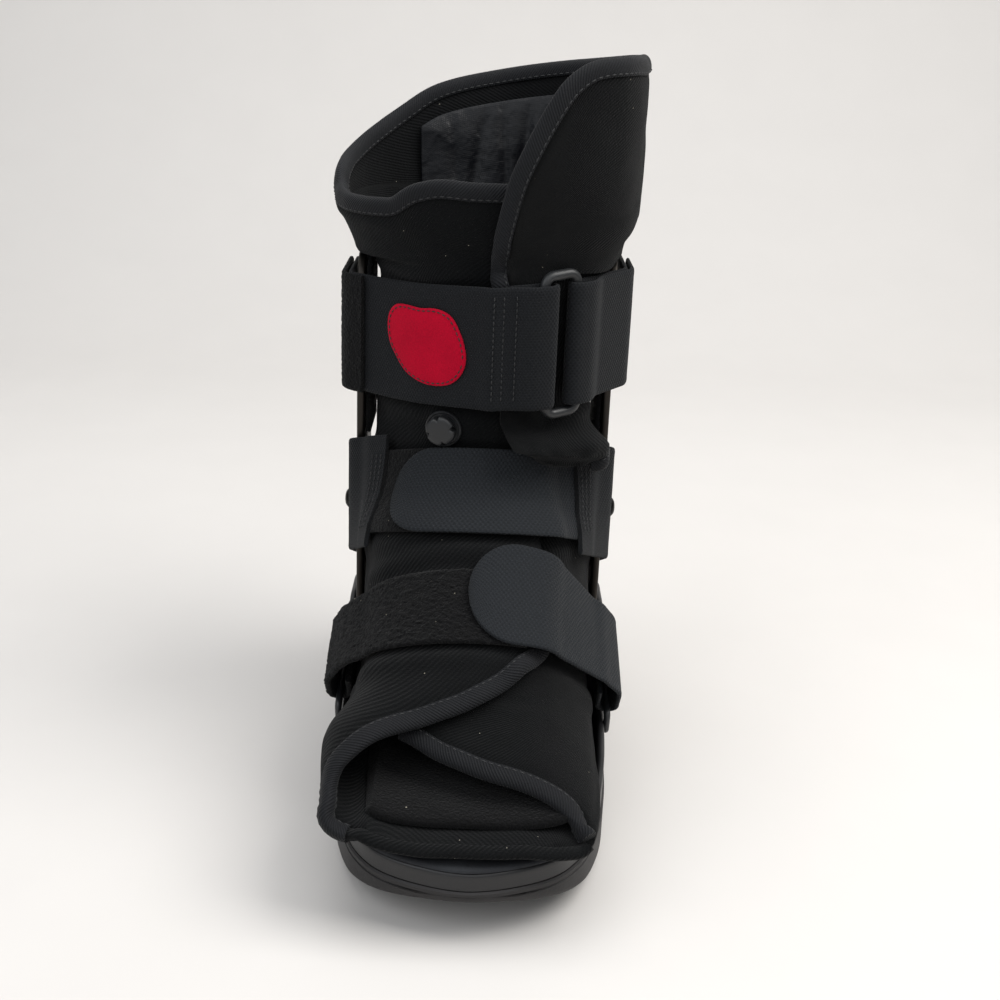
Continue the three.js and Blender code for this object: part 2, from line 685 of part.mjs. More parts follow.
// The outline of the wrapped pieces in a plane through the x direction, as a taut band would follow it
function bandRow({ y, z, rise }, lift, corner, tail, also = []) {
  const forward = new THREE.Vector2(-Math.cos(radians(rise)), Math.sin(radians(rise)));
  const above = new THREE.Vector2(Math.sin(radians(rise)), Math.cos(radians(rise)));
  const points = [[-corner[0], corner[1]], [corner[0], corner[1]]];
  for (let angle = -92; angle <= 92; angle += 4) {
    let low = 0.4;
    let high = 10.6;
    let p;
    for (let k = 0; k < 26; k++) {
      const place = (low + high) / 2;
      p = layer(place, angle, lift(place, angle));
      if ((p.y - y) * above.x + (p.z - z) * above.y > 0) low = place;
      else high = place;
    }
    const t = (p.y - y) * forward.x + (p.z - z) * forward.y;
    if (Math.abs(p.x) < corner[0] && t > 0) points.push([p.x, t]);
  }
  points.push(...also);
  points.sort((a, b) => a[0] - b[0] || a[1] - b[1]);
  const hull = [];
  for (const p of points) {
    while (hull.length > 1) {
      const [a, b] = hull.slice(-2);
      if ((b[0] - a[0]) * (p[1] - a[1]) - (b[1] - a[1]) * (p[0] - a[0]) < 0) break;
      hull.pop();
    }
    hull.push(p);
  }
  const chain = [[-corner[0], -tail], ...hull, [corner[0], -tail]].map(([x, t]) => new THREE.Vector2(x, t));
  const lengths = [0];
  for (let i = 1; i < chain.length; i++) lengths.push(lengths[i - 1] + chain[i].distanceTo(chain[i - 1]));
  const total = lengths[lengths.length - 1];
  const at2 = (s) => {
    let i = 0;
    while (i < lengths.length - 2 && s > lengths[i + 1]) i++;
    return chain[i].clone().lerp(chain[i + 1], (s - lengths[i]) / (lengths[i + 1] - lengths[i]));
  };
  const soft = 4;
  const at = (share) => {
    const s = share * total;
    const p = at2(s);
    const t = at2(Math.min(s + soft, total)).sub(at2(Math.max(s - soft, 0))).normalize();
    return {
      point: new THREE.Vector3(p.x, y + p.y * forward.x, z + p.y * forward.y),
      normal: new THREE.Vector3(-t.y, t.x * forward.x, t.x * forward.y),
      x: p.x,
    };
  };
  return { at, total, points };
}

// A field of rows: at(length, v, off) is the point at a length along the band from its middle, v across its width
function bandField(planes, lift, corner, tail, straight = false) {
  const own = planes.map((p) => bandRow(p, lift, corner, tail));
  const shared = straight ? own.flatMap((r) => r.points) : [];
  const rows = straight ? planes.map((p) => bandRow(p, lift, corner, tail, shared)) : own;
  const total = rows.reduce((sum, r) => sum + r.total, 0) / rows.length;
  const at = (length, v, off) => {
    const share = THREE.MathUtils.clamp(length / total + 0.5, 0, 1);
    const k = THREE.MathUtils.clamp(v, 0, 1) * (rows.length - 1);
    const i = Math.min(Math.floor(k), rows.length - 2);
    const a = rows[i].at(share);
    const b = rows[i + 1].at(share);
    const past = length - (share - 0.5) * total;
    const normal = a.normal.clone().lerp(b.normal, k - i);
    const p = a.point.clone().lerp(b.point, k - i).addScaledVector(normal, off);
    if (Math.abs(past) > 1e-6) {
      const inward = rows[i].at(share > 0.5 ? share - 0.01 : share + 0.01).point.sub(a.point).normalize();
      p.addScaledVector(inward, -Math.abs(past));
    }
    return p;
  };
  const lengthAtX = (x) => {
    let low = 0;
    let high = 1;
    for (let k = 0; k < 30; k++) {
      const mid = (low + high) / 2;
      if (rows[Math.floor(rows.length / 2)].at(mid).x < x) low = mid;
      else high = mid;
    }
    return ((low + high) / 2 - 0.5) * total;
  };
  return { at, total, lengthAtX, rows: rows.length };
}

// A band of webbing in a field. path holds [length, off] points of its middle layer.
function ribbon(field, path, { thickness = webThickness, width = () => 1 } = {}) {
  const across = path.length - 1;
  const normals = path.map((_, i) => {
    const a = path[Math.max(i - 1, 0)];
    const b = path[Math.min(i + 1, across)];
    return new THREE.Vector2(-(b[1] - a[1]), b[0] - a[0]).normalize();
  });
  return sheet(across, field.rows - 1, (u, v, side) => {
    const i = Math.round(u * across);
    const shift = (side ? 0.5 : -0.5) * thickness;
    const [length, off] = path[i];
    const span = 0.5 + (v - 0.5) * width(i / across);
    return field.at(length + normals[i].x * shift, span, off + normals[i].y * shift);
  });
}

// A straight run of path points between two lengths, with off as a number or a function of length
function run(from, to, off, step = 6) {
  const count = Math.max(1, Math.round(Math.abs(to - from) / step));
  const points = [];
  for (let i = 0; i <= count; i++) {
    const length = lerp(from, to, i / count);
    points.push([length, typeof off === 'function' ? off(length) : off]);
  }
  return points;
}

// Half a turn of path points round a bar, from one side of it to the other
function turn(length, off, radius, way) {
  const points = [];
  for (let i = 1; i < 6; i++) {
    const t = (Math.PI * i) / 6;
    points.push([length + way * radius * Math.sin(t), off - radius * Math.cos(t)]);
  }
  return points;
}

const cornerX = strutOuter + 1.1;
const layer1 = webThickness / 2 + layerGap;
const layer2 = layer1 + webThickness + layerGap;
const straddle = 0.4; // the bindings stand this much above the flaps

// The right calf flap's share of the envelope is found at the same direction, a turn further round
const flapAngle = CALF_WRAP[CALF_WRAP.length - 1].angle + 360 - 9;
const calfEnvelope = (place, angle) => (angle > flapAngle ? calfLift(Math.min(place, 4.7), angle - 360) + straddle : 0);
const footEnvelope = (place, angle) => (angle < FOOT_WRAP[0].angle + 8 ? footLift(Math.max(place, 5.68), angle) + straddle : 0);
const planesFor = (width, count, make) => {
  const planes = [];
  for (let i = 0; i < count; i++) planes.push(make((0.5 - i / (count - 1)) * width));
  return planes;
};

const calfField = bandField(
  planesFor(calfStrapWidth, 4, (w) => ({ y: 0, z: calfStrapHeight + w, rise: 0 })),
  calfEnvelope, [cornerX, strutWidth / 2 + 0.8], strutWidth / 2 - 2, true,
);
const ankleField = (width) => bandField(
  planesFor(width, 4, (w) => ({ y: 0, z: ankleStrapHeight + w * strapSlant, rise: ankleStrapRise })),
  (place, angle) => footEnvelope(place, angle) + straddle * 1.6, [cornerX, strutWidth / 2 + 0.8], strutWidth / 2 - 2,
);
// Each row of the foot strap runs from its own place along the slot to its own place on the instep
const FOOT_STRAP_ROWS = [
  { slot: -0.5, rise: 53 },
  { slot: -0.17, rise: 49.5 },
  { slot: 0.17, rise: 46 },
  { slot: 0.5, rise: 42 },
];
const footField = (width) => bandField(
  FOOT_STRAP_ROWS.map((r) => ({ y: -footSlotForward - r.slot * width, z: footSlotHeight, rise: r.rise })),
  footEnvelope, [strutSpacing / 2 + 0.3, 3], 0,
);

// Calf strap, ring and patch

const loopRadius = ringWire / 2 + seatGap + webThickness / 2;
const ringOff = layer1 + loopRadius;
const ringMiddle = calfField.lengthAtX(28);
const leftBar = ringMiddle - (ringWindow + ringWire) / 2;
const rightBar = ringMiddle + (ringWindow + ringWire) / 2;
const strapHalf = calfField.total / 2;
const farOff = layer1 + 2 * loopRadius;

function calfStrapLeft() {
  const fold = 16;
  const over = (s) => {
    const near = lerp(layer1, layer2, ramp(leftBar - fold - 9, leftBar - fold - 2, s));
    return lerp(near, farOff, ramp(leftBar - 15, leftBar - 3, s));
  };
  return ribbon(calfField, [
    ...run(-strapHalf, leftBar, over),
    ...turn(leftBar, ringOff, loopRadius, 1).reverse(),
    ...run(leftBar, leftBar - fold, layer1),
  ]);
}

function calfStrapRight() {
  const over = (s) => lerp(farOff, layer2, ramp(rightBar + 3, rightBar + 14, s));
  return ribbon(calfField, [
    ...run(strapHalf, rightBar, layer1),
    ...turn(rightBar, ringOff, loopRadius, -1),
    ...run(rightBar, strapHalf - 12, over),
  ]);
}

// A closed frame of round bar in the plane of two directions
function barFrame(centre, side, up, halfWide, halfTall, wire, corner = 4) {
  const out = side.clone().cross(up).normalize();
  const frames = [];
  const corners = [[1, 1], [-1, 1], [-1, -1], [1, -1]];
  corners.forEach(([sx, sy], k) => {
    for (let i = 0; i <= 3; i++) {
      const t = (Math.PI / 2) * (k + i / 3);
      const dx = sx * (halfWide - corner) + corner * Math.cos(t);
      const dy = sy * (halfTall - corner) + corner * Math.sin(t);
      const radial = side.clone().multiplyScalar(Math.cos(t)).addScaledVector(up, Math.sin(t));
      frames.push({
        centre: centre.clone().addScaledVector(side, dx).addScaledVector(up, dy),
        a: radial.multiplyScalar(wire / 2),
        b: out.clone().multiplyScalar(wire / 2),
      });
    }
  });
  return sweep(frames, 8, true);
}

function ring() {
  const left = calfField.at(leftBar, 0.5, ringOff);
  const right = calfField.at(rightBar, 0.5, ringOff);
  const centre = left.clone().lerp(right, 0.5);
  const side = right.clone().sub(left).normalize();
  const up = new THREE.Vector3(0, 0, 1);
  return barFrame(centre, side, up, left.distanceTo(right) / 2, (calfStrapWidth + 2 * ringReach - ringWire) / 2, ringWire);
}

// A flat oval badge that follows the field
function patch() {
  const middle = calfField.lengthAtX(-22.5);
  const halfLong = 17.5;
  const halfTall = 16;
  const off = layer1 + webThickness / 2 + seatGap;
  const points = [];
  const faces = [];
  const count = 28;
  const rings = [0.02, 0.5, 1];
  for (const side of [1, 0]) {
    for (const r of rings) {
      for (let i = 0; i < count; i++) {
        const t = (2 * Math.PI * i) / count;
        const reach = (Math.abs(Math.cos(t)) ** 2.5 + Math.abs(Math.sin(t)) ** 2.5) ** (-1 / 2.5) * r;
        const tall = (halfTall * reach * Math.sin(t)) / calfStrapWidth;
        points.push(calfField.at(middle + halfLong * reach * Math.cos(t), 0.52 + tall, off + side * patchThickness));
      }
    }
  }
  const at = (side, r, i) => ((side ? 0 : 1) * rings.length + r) * count + (i % count);
  const quad = (a, b, c, d) => faces.push(a, b, c, a, c, d);
  for (let i = 0; i < count; i++) {
    for (let r = 0; r < rings.length - 1; r++) {
      quad(at(1, r, i), at(1, r, i + 1), at(1, r + 1, i + 1), at(1, r + 1, i));
      quad(at(0, r, i), at(0, r + 1, i), at(0, r + 1, i + 1), at(0, r, i + 1));
    }
    quad(at(1, 2, i), at(1, 2, i + 1), at(0, 2, i + 1), at(0, 2, i));
  }
  for (let i = 1; i < count - 1; i++) {
    faces.push(at(1, 0, 0), at(1, 0, i + 1), at(1, 0, i));
    faces.push(at(0, 0, 0), at(0, 0, i), at(0, 0, i + 1));
  }
  return facingOut(geometryOf(points, faces));
}

// Ankle strap

const baseField = ankleField(ankleBaseWidth);
const tabField = ankleField(ankleStrapWidth);
const ankleJoin = tabField.lengthAtX(-43);

function ankleLoopStrap() {
  return ribbon(tabField, run(ankleJoin - 8, tabField.lengthAtX(22), layer1));
}

function ankleTab() {
  const start = tabField.lengthAtX(-33);
  const dip = tabField.lengthAtX(24);
  const end = -ankleJoin + 8;
  const off = (s) => lerp(layer2, layer1, ramp(dip, dip + 12, s));
  const path = [...run(start, start + 12, off, 2), ...run(start + 12, end, off).slice(1)];
  const lengths = path.map((p) => p[0] - start);
  const round = 12;
  return ribbon(tabField, path, {
    width: (share) => {
      const s = Math.min(lengths[Math.round(share * (path.length - 1))], round) / round;
      return Math.max(Math.sqrt(1 - (1 - s) ** 2 * 0.9), 0.3);
    },
  });
}

function ankleBase(way) {
  const end = way * -ankleJoin;
  const start = (way * baseField.total) / 2;
  const off = (s) => lerp(layer1, layer2, ramp(way * end + 20, way * end + 10, way * s));
  return ribbon(baseField, run(start, end, off, 4));
}

// Foot strap

const footLoopField = footField(footStrapWidth);
const footTabField = footField(footTabWidth);
const slotWire = 2.8;
const slotRadius = (slotWire / 2) * 1.95 + seatGap + webThickness / 2;

function footLoopStrap() {
  const bar = -footLoopField.total / 2;
  return ribbon(footLoopField, [
    ...run(bar + 16, bar, layer1),
    ...turn(bar, layer1 + slotRadius, slotRadius, -1),
    ...run(bar, footLoopField.lengthAtX(20), (s) => lerp(layer1 + 2 * slotRadius, layer2, ramp(bar + 4, bar + 16, s))
      + lerp(0, layer1 - layer2, ramp(bar + 22, bar + 34, s))),
  ]);
}

function footTab() {
  const bar = footTabField.total / 2;
  const start = footTabField.lengthAtX(-3);
  const dip = footTabField.lengthAtX(24);
  const off = (s) => lerp(layer2, layer1, ramp(dip, dip + 12, s)) + (layer2 - layer1) * ramp(bar - 34, bar - 22, s)
    + (layer1 + 2 * slotRadius - layer2) * ramp(bar - 16, bar - 4, s);
  const path = [
    ...run(start, start + 14, off, 2),
    ...run(start + 14, bar, off).slice(1),
    ...turn(bar, layer1 + slotRadius, slotRadius, 1).reverse(),
    ...run(bar, bar - 16, layer1),
  ];
  const lengths = path.map((p) => p[0] - start);
  const round = 14;
  return ribbon(footTabField, path, {
    width: (share) => {
      const i = Math.round(share * (path.length - 1));
      const s = i > 10 ? 1 : Math.min(lengths[i], round) / round;
      return Math.max(Math.sqrt(1 - (1 - s) ** 2 * 0.9), 0.3);
    },
  });
}

function footSlot(way) {
  const field = footLoopField;
  const bar = field.at((way * field.total) / 2, 0.5, layer1 + slotRadius);
  const side = new THREE.Vector3(0, 0, 1);
  const up = new THREE.Vector3(0, 1, 0);
  const tall = 5;
  const centre = bar.clone().addScaledVector(side, -tall);
  return barFrame(centre, side, up, tall, footTabWidth / 2 + 4.5, slotWire, 2.5);
}

// Hardware

function peg(radius, height, centre, axis, segments = 16) {
  const g = new THREE.CylinderGeometry(radius, radius, height, segments).translate(0, height / 2, 0);
  const turned = new THREE.Quaternion().setFromUnitVectors(new THREE.Vector3(0, 1, 0), axis);
  return g.applyQuaternion(turned).translate(centre.x, centre.y, centre.z);
}

const ankleRivet = (way) => {
  const x = cornerX + layer1 + webThickness / 2 + seatGap;
  return peg(rivetRadius, rivetHeight, new THREE.Vector3(way * x, 0, ankleStrapHeight), new THREE.Vector3(way, 0, 0));
};
const strutRivet = (way) => {
  const x = strutOuter + seatGap * 2 + plateWall;
  return peg(rivetRadius, 2, new THREE.Vector3(way * x, 0, earTop - 13), new THREE.Vector3(way, 0, 0));
};

// The valve sits right above the ankle strap
const valveAngle = -19;
const valvePlace = (() => {
  const rise = radians(ankleStrapRise);
  const edge = ankleStrapHeight + (ankleStrapWidth / 2) * strapSlant;
  let [high, low] = [4, 6];
  for (let i = 0; i < 40; i++) {
    const place = (high + low) / 2;
    const p = layer(place, valveAngle, layerGap);
    if (p.y * Math.sin(rise) + (p.z - edge) * Math.cos(rise) > collarRadius + valveGap) high = place;
    else low = place;
  }
  return (high + low) / 2;
})();
const valveAxis = skinNormal(valvePlace, valveAngle);
const valveBase = layer(valvePlace, valveAngle, layerGap);
const valveCollar = () => peg(collarRadius, collarHeight, valveBase, valveAxis, 32);
function valveKnob() {
  const seat = valveBase.clone().addScaledVector(valveAxis, collarHeight + seatGap);
  let body = solid(peg(knobRadius, knobHeight, new THREE.Vector3(), new THREE.Vector3(0, 1, 0), 40));
  for (let k = 0; k < 4; k++) {
    const notch = box(2.2, knobHeight * 3, 2.2, knobRadius, knobHeight / 2, 0).rotateY((Math.PI / 2) * k);
    body = body.subtract(solid(notch));
  }
  const turned = new THREE.Quaternion().setFromUnitVectors(new THREE.Vector3(0, 1, 0), valveAxis);
  return geometryFrom(body).applyQuaternion(turned).translate(seat.x, seat.y, seat.z);
}

add('outsole', outsole(), 'rubber');
add('footplate', footplate(), 'plastic');
add('sole_pad', solePad(), 'foam');
add('strut_right', strut(), 'aluminium');
add('strut_left', mirrored(strut()), 'aluminium');
add('strut_pad_right', strutPad(), 'loop');
add('strut_pad_left', mirrored(strutPad()), 'loop');
add('calf_wrap', calfWrap(), 'loop');
add('foot_wrap', footWrap(), 'loop');
add('calf_binding', calfBinding(), 'tape');
add('foot_binding', footBinding(), 'tape');
add('air_cell', airCell(), 'nylon');
add('insole', insole(), 'loop');
add('calf_strap_left', calfStrapLeft(), 'webbing');
add('calf_strap_right', calfStrapRight(), 'webbing');
add('calf_ring', ring(), 'plastic');
add('patch', patch(), 'felt');
add('ankle_base_left', ankleBase(-1), 'webbing');
add('ankle_base_right', ankleBase(1), 'webbing');
add('ankle_loop_strap', ankleLoopStrap(), 'loop');
add('ankle_tab', ankleTab(), 'webbing');
add('ankle_rivet_left', ankleRivet(-1), 'aluminium');
add('ankle_rivet_right', ankleRivet(1), 'aluminium');
add('strut_rivet_left', strutRivet(-1), 'aluminium');
add('strut_rivet_right', strutRivet(1), 'aluminium');
add('foot_loop_strap', footLoopStrap(), 'loop');
add('foot_tab', footTab(), 'webbing');
add('foot_slot_left', footSlot(-1), 'plastic');
add('foot_slot_right', footSlot(1), 'plastic');
add('valve_collar', valveCollar(), 'plastic');
add('valve_knob', valveKnob(), 'plastic');

boot.updateMatrixWorld(true);
const bounds = new THREE.Box3().setFromObject(boot);
const middle = bounds.getCenter(new THREE.Vector3());
boot.position.set(-middle.x, -middle.y, -bounds.min.z);

export default boot;
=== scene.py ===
"""Looks of a short medical walking boot: padded wraps, straps, struts, rocker sole and turning air valve."""

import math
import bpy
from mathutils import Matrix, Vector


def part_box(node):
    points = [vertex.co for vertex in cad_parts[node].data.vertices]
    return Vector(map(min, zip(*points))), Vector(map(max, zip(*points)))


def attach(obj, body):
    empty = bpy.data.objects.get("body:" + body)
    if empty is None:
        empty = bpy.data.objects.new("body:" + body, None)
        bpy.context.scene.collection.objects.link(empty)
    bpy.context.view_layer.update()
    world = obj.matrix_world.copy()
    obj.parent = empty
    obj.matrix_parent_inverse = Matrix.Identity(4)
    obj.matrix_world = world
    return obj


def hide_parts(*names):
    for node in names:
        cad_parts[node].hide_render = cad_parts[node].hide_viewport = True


bl_info = {
    "name": "Walking boot",
    "version": (1, 0, 0),
    "blender": (4, 5, 0),
    "location": "View3D > Sidebar > Boot",
    "description": "Builds the dressed pieces of a short medical walking boot on its CAD frame",
    "category": "Object",
}

import bpy
import numpy as np
from bpy.props import FloatProperty, FloatVectorProperty, PointerProperty, StringProperty
from mathutils import Matrix, Vector, noise

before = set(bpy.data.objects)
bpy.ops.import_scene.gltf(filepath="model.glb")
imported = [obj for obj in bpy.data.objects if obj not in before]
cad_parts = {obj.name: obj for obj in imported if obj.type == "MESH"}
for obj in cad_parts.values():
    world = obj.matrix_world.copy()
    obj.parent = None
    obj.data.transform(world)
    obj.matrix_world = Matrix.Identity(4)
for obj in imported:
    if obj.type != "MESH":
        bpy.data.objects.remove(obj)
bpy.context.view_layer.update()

# Millimetres, in the frame that the sole is drawn in: y = 0 at the struts, z = 0 at the floor, toe towards -Y
BOOT_HEIGHT = 302
SOLE_LENGTH = 270
SOLE_WIDTH = 112
SOLE_THICK = 22
TOE_RISE = 0.686
CALF_WIDTH = 94
CALF_DEPTH = 104
LINER = 6
WEB = 2
LAYER_GAP = 0.7
SEAT_GAP = 0.35
STRUT_WIDTH = 36
STRUT_THICK = 3.5
STRUT_SPACING = 103
STRUT_TOP = 219
STRUT_FOOT = 34
STRUT_OUTER = STRUT_SPACING / 2 + STRUT_THICK
PLATE_TOP = SOLE_THICK + SEAT_GAP + 4
LINER_BASE = PLATE_TOP + SEAT_GAP + 4.5
LINER_HEIGHT = BOOT_HEIGHT - LINER_BASE
EAR_TOP = 62
CALF_STRAP = 50
ANKLE_STRAP = 37
ANKLE_BASE = 50
FOOT_STRAP = 37
FOOT_TAB = 44
CALF_STRAP_Z = 188
ANKLE_STRAP_Z = 105
ANKLE_RISE = 24
STRAP_LEAN = 1.05
SLOT_Y = -60
SLOT_Z = 45.5
SLOT_SLOPE = math.radians(16)
PAD_THICK = 2.2
PAD_BOTTOM = 142
RIVET_RADIUS = 4.6
RING_WINDOW = 9
RING_TALL = 61
BADGE_X = -22.5
TREAD_COUNT = 9
TREAD_DEPTH = 2.2
TREAD_WIDTH = 3.5
CORNER_X = STRUT_OUTER + 1.1
LAYER_1 = WEB / 2 + LAYER_GAP
LAYER_2 = LAYER_1 + WEB + LAYER_GAP
STRADDLE = 0.4
OVERLAP = LINER + 1.3
STRAP_STACK = 2 * (WEB + LAYER_GAP)
BULGE = 10

TOE_Y = -TOE_RISE * SOLE_LENGTH
SOLE_LOW, SOLE_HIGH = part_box("outsole")
SHIFT = np.array([(SOLE_LOW.x + SOLE_HIGH.x) * 500, SOLE_LOW.y * 1000 - TOE_Y, 0.0])


def table(names, *rows):
    """Rows of numbers as dictionaries, with one key for each name."""
    return [dict(zip(names.split(), row)) for row in rows]


# Shares of the sole's length and half width, from the toe tip to the back of the heel
SOLE_OUTLINE = table(
    "along half",
    (0, 0), (0.018, 0.366), (0.047, 0.607), (0.088, 0.757), (0.125, 0.83), (0.2, 0.92), (0.28, 0.972),
    (0.38, 0.998), (0.5, 0.998), (0.62, 0.975), (0.74, 0.92), (0.85, 0.81), (0.93, 0.62), (0.98, 0.35),
    (1, 0),
)

# Rise of the outsole's underside as a share of its thickness
ROCKER = table(
    "along rise",
    (0, 0.86), (0.06, 0.6), (0.15, 0.3), (0.25, 0.1), (0.34, 0), (0.82, 0), (0.92, 0.14), (1, 0.42),
)

# Height of the footplate's rim, as a share of the ear's height above the plate
PLATE_WALL = table(
    "along height",
    (0, 0.08), (0.12, 0.1), (0.22, 0.2), (0.34, 0.36), (0.42, 0.45), (0.55, 0.5),
    (0.61, 0.85), (0.66, 1), (0.72, 1), (0.77, 0.9), (0.86, 0.5), (1, 0.42),
)

# Sections through the liner's outer surface, from the rim (place 0) down the calf and along the foot (place
# 11). Depths are shares of the calf's depth for the first five and of the sole's length after them. Heights
# are shares of the liner's height above the sole pad.
SECTIONS = table(
    "front_y front_z back_y back_z half shift front back",
    (-0.6, 1.0223, 0.69, 1.0223, 1.4, -0.02, 2.3, 2.3),
    (-0.56, 0.8528, 0.66, 0.8818, 1.4, -0.02, 2.3, 2.3),
    (-0.5, 0.7636, 0.62, 0.777, 1.38, -0.015, 2.3, 2.3),
    (-0.465, 0.6989, 0.58, 0.7045, 1.02, 0, 2.3, 2.3),
    (-0.45, 0.5495, 0.56, 0.5127, 1, 0, 2.2, 2.2),
    (-0.17, 0.439, 0.21, 0.3465, 0.85, 0, 2.2, 2.3),
    (-0.219, 0.3387, 0.235, 0.1803, 0.89, 0, 2.2, 2.5),
    (-0.3, 0.2684, 0.25, 0.0799, 0.88, 0, 2.2, 2.8),
    (-0.372, 0.2249, 0.19, 0.0097, 0.87, 0, 2.2, 2.9),
    (-0.445, 0.1803, -0.11, 0.0052, 0.86, 0, 2.3, 3),
    (-0.518, 0.1357, -0.365, 0.0052, 0.86, 0, 2.4, 3.1),
    (-0.57, 0.1023, -0.647, 0.0052, 0.8, 0, 2.6, 3.1),
)

# Edges of the two wraps. angle is 0 at the front, -90 at the left, -180 at the back; top and bottom are
# places.
CALF_WRAP = table(
    "angle top bottom",
    (36, 1.5, 5.55), (-2, 1.5, 5.58), (-14, 1.46, 5.59), (-23, 1.55, 5.6), (-35, 1.9, 5.62),
    (-60, 1.96, 5.65), (-78, 1.9, 5.8), (-92, 1.66, 5.92), (-112, 1.5, 6.2), (-140, 1.1, 6.5),
    (-160, 0.75, 6.62), (-180, 0.6, 6.7), (-220, 0.4, 6.5), (-250, 0.3, 6.2), (-267, 0.27, 5.85),
    (-277, 0.25, 4.9), (-299, 0.24, 4.9), (-306, 0.23, 5.1), (-312, 0.22, 5.26), (-319, 0.22, 5.36),
    (-326, 0.24, 5.4), (-333, 0.35, 5.38), (-339, 0.58, 5.28), (-344, 0.85, 5.16), (-348, 1.2, 4.98),
    (-352, 2.1, 4.7),
)
FOOT_WRAP = table(
    "angle top bottom",
    (26, 5.68, 8.65), (13, 5.68, 9.13), (0, 5.69, 9.48), (-28, 5.7, 10.02), (-54, 5.74, 10.59),
    (-78, 5.88, 10.8), (-92, 6.02, 10.94), (-112, 6.3, 11), (-140, 6.6, 11), (-180, 6.8, 11),
    (-220, 6.6, 11), (-250, 6.3, 11), (-267, 5.95, 11), (-300, 5.72, 11), (-328, 6.4, 11),
    (-344, 6.5, 10.95), (-360, 6.5, 10.7), (-376, 6.5, 10.3), (-390, 6.5, 9.98),
)

# Each row of the foot strap runs from its own place along the slot to its own rise over the instep. high is
# how far the row's slot lies above the front one.
FOOT_LOOP_ROWS = table("slot rise high", (-0.5, 47, 11.5), (-0.17, 47, 7.6), (0.17, 47.5, 3.8), (0.5, 48, 0))
FOOT_TAB_ROWS = table("slot rise high", (-0.5, 54, 12.5), (-0.17, 53, 8.3), (0.17, 51.5, 4.1), (0.5, 50, 0))

# The right foot flap hangs down at the toe: where its edge goes, by its angle round the foot
TOE_DROOP = table(
    "angle x z",
    (-216, 30, 35.8), (-228, 36.5, 35.4), (-240, 41.6, 35.6), (-250, 43.8, 37.2), (-262, 44, 39.2),
    (-274, 42.4, 41), (-286, 40.8, 42.8), (-298, 37.4, 45.4), (-310, 32.6, 48.6), (-322, 26.2, 51.6),
    (-334, 19, 54), (-346, 11, 55.6), (-358, 2, 57.2), (-372, -9.8, 59.6),
)

# Straps that press into the wraps: a point in the strap's middle plane, its rise and half its width
PRESSED = table("y z rise half", (0, CALF_STRAP_Z, 0, CALF_STRAP / 2),
                (0, ANKLE_STRAP_Z, ANKLE_RISE, ANKLE_STRAP / 2), (SLOT_Y, 54, 47, 20))

# The badge's outline round its middle: turn in degrees from the right, anticlockwise, and reach in
# millimetres
BADGE_OUTLINE = table(
    "turn reach",
    (-16, 18.2), (8, 16.4), (29, 16.0), (54, 17.0), (74, 16.6), (98, 15.8), (118, 18.6), (134, 22.0),
    (147, 21.4), (161, 19.4), (180, 17.4), (210, 15.0), (244, 15.4), (270, 16.6), (291, 18.0),
    (311, 19.4), (328, 19.2),
)


# Small mathematics


def lerp(a, b, t):
    return a + (b - a) * t


def ramp(low, high, x):
    """0 before low, 1 after high, and smooth between; low may be the larger."""
    t = np.clip((np.asarray(x, float) - low) / (high - low), 0, 1)
    return t * t * (3 - 2 * t)


def unit(v):
    return v / np.maximum(np.linalg.norm(v, axis=-1, keepdims=True), 1e-12)


def column(rows, key, value):
    """A smooth function through one column of a table that never overshoots its rows."""
    x = np.array([r[key] for r in rows], float)
    y = np.array([r[value] for r in rows], float)
    step = np.diff(x)
    slope = np.diff(y) / step
    tangent = np.empty(len(x))
    tangent[0], tangent[-1] = slope[0], slope[-1]
    for i in range(1, len(x) - 1):
        if slope[i - 1] * slope[i] <= 0:
            tangent[i] = 0
            continue
        before = 2 * step[i] + step[i - 1]
        after = step[i] + 2 * step[i - 1]
        tangent[i] = (before + after) / (before / slope[i - 1] + after / slope[i])
    way = 1 if x[-1] > x[0] else -1

    def at(where):
        where = np.asarray(where, float)
        i = np.clip(np.searchsorted(x * way, where * way, side="left") - 1, 0, len(x) - 2)
        t = np.clip((where - x[i]) / step[i], 0, 1)
        t2, t3 = t * t, t * t * t
        return (
            (2 * t3 - 3 * t2 + 1) * y[i]
            + (t3 - 2 * t2 + t) * step[i] * tangent[i]
            + (3 * t2 - 2 * t3) * y[i + 1]
            + (t3 - t2) * step[i] * tangent[i + 1]
        )

    return at


def closed_curve(points, count):
    """Points evenly spaced along a smooth closed curve through the given ones, and the tangent at each."""
    p = np.array(points, float)
    n = len(p)
    fine = []
    for i in range(n):
        a, b, c, d = p[i - 1], p[i], p[(i + 1) % n], p[(i + 2) % n]
        d0, d1, d2 = (math.sqrt(np.linalg.norm(s)) for s in (b - a, c - b, d - c))
        m1 = ((b - a) / d0 - (c - a) / (d0 + d1) + (c - b) / d1) * d1
        m2 = ((c - b) / d1 - (d - b) / (d1 + d2) + (d - c) / d2) * d1
        t = np.linspace(0, 1, 24, endpoint=False)[:, None]
        fine.append(
            (2 * t**3 - 3 * t**2 + 1) * b + (t**3 - 2 * t**2 + t) * m1
            + (3 * t**2 - 2 * t**3) * c + (t**3 - t**2) * m2
        )
    fine = np.concatenate(fine)
    loop = np.vstack([fine, fine[:1]])
    length = np.concatenate([[0], np.cumsum(np.linalg.norm(np.diff(loop, axis=0), axis=1))])
    at = np.linspace(0, length[-1], count, endpoint=False)
    even = np.stack([np.interp(at, length, loop[:, k]) for k in range(2)], 1)
    tangent = unit(np.roll(even, -1, 0) - np.roll(even, 1, 0))
    return even, tangent


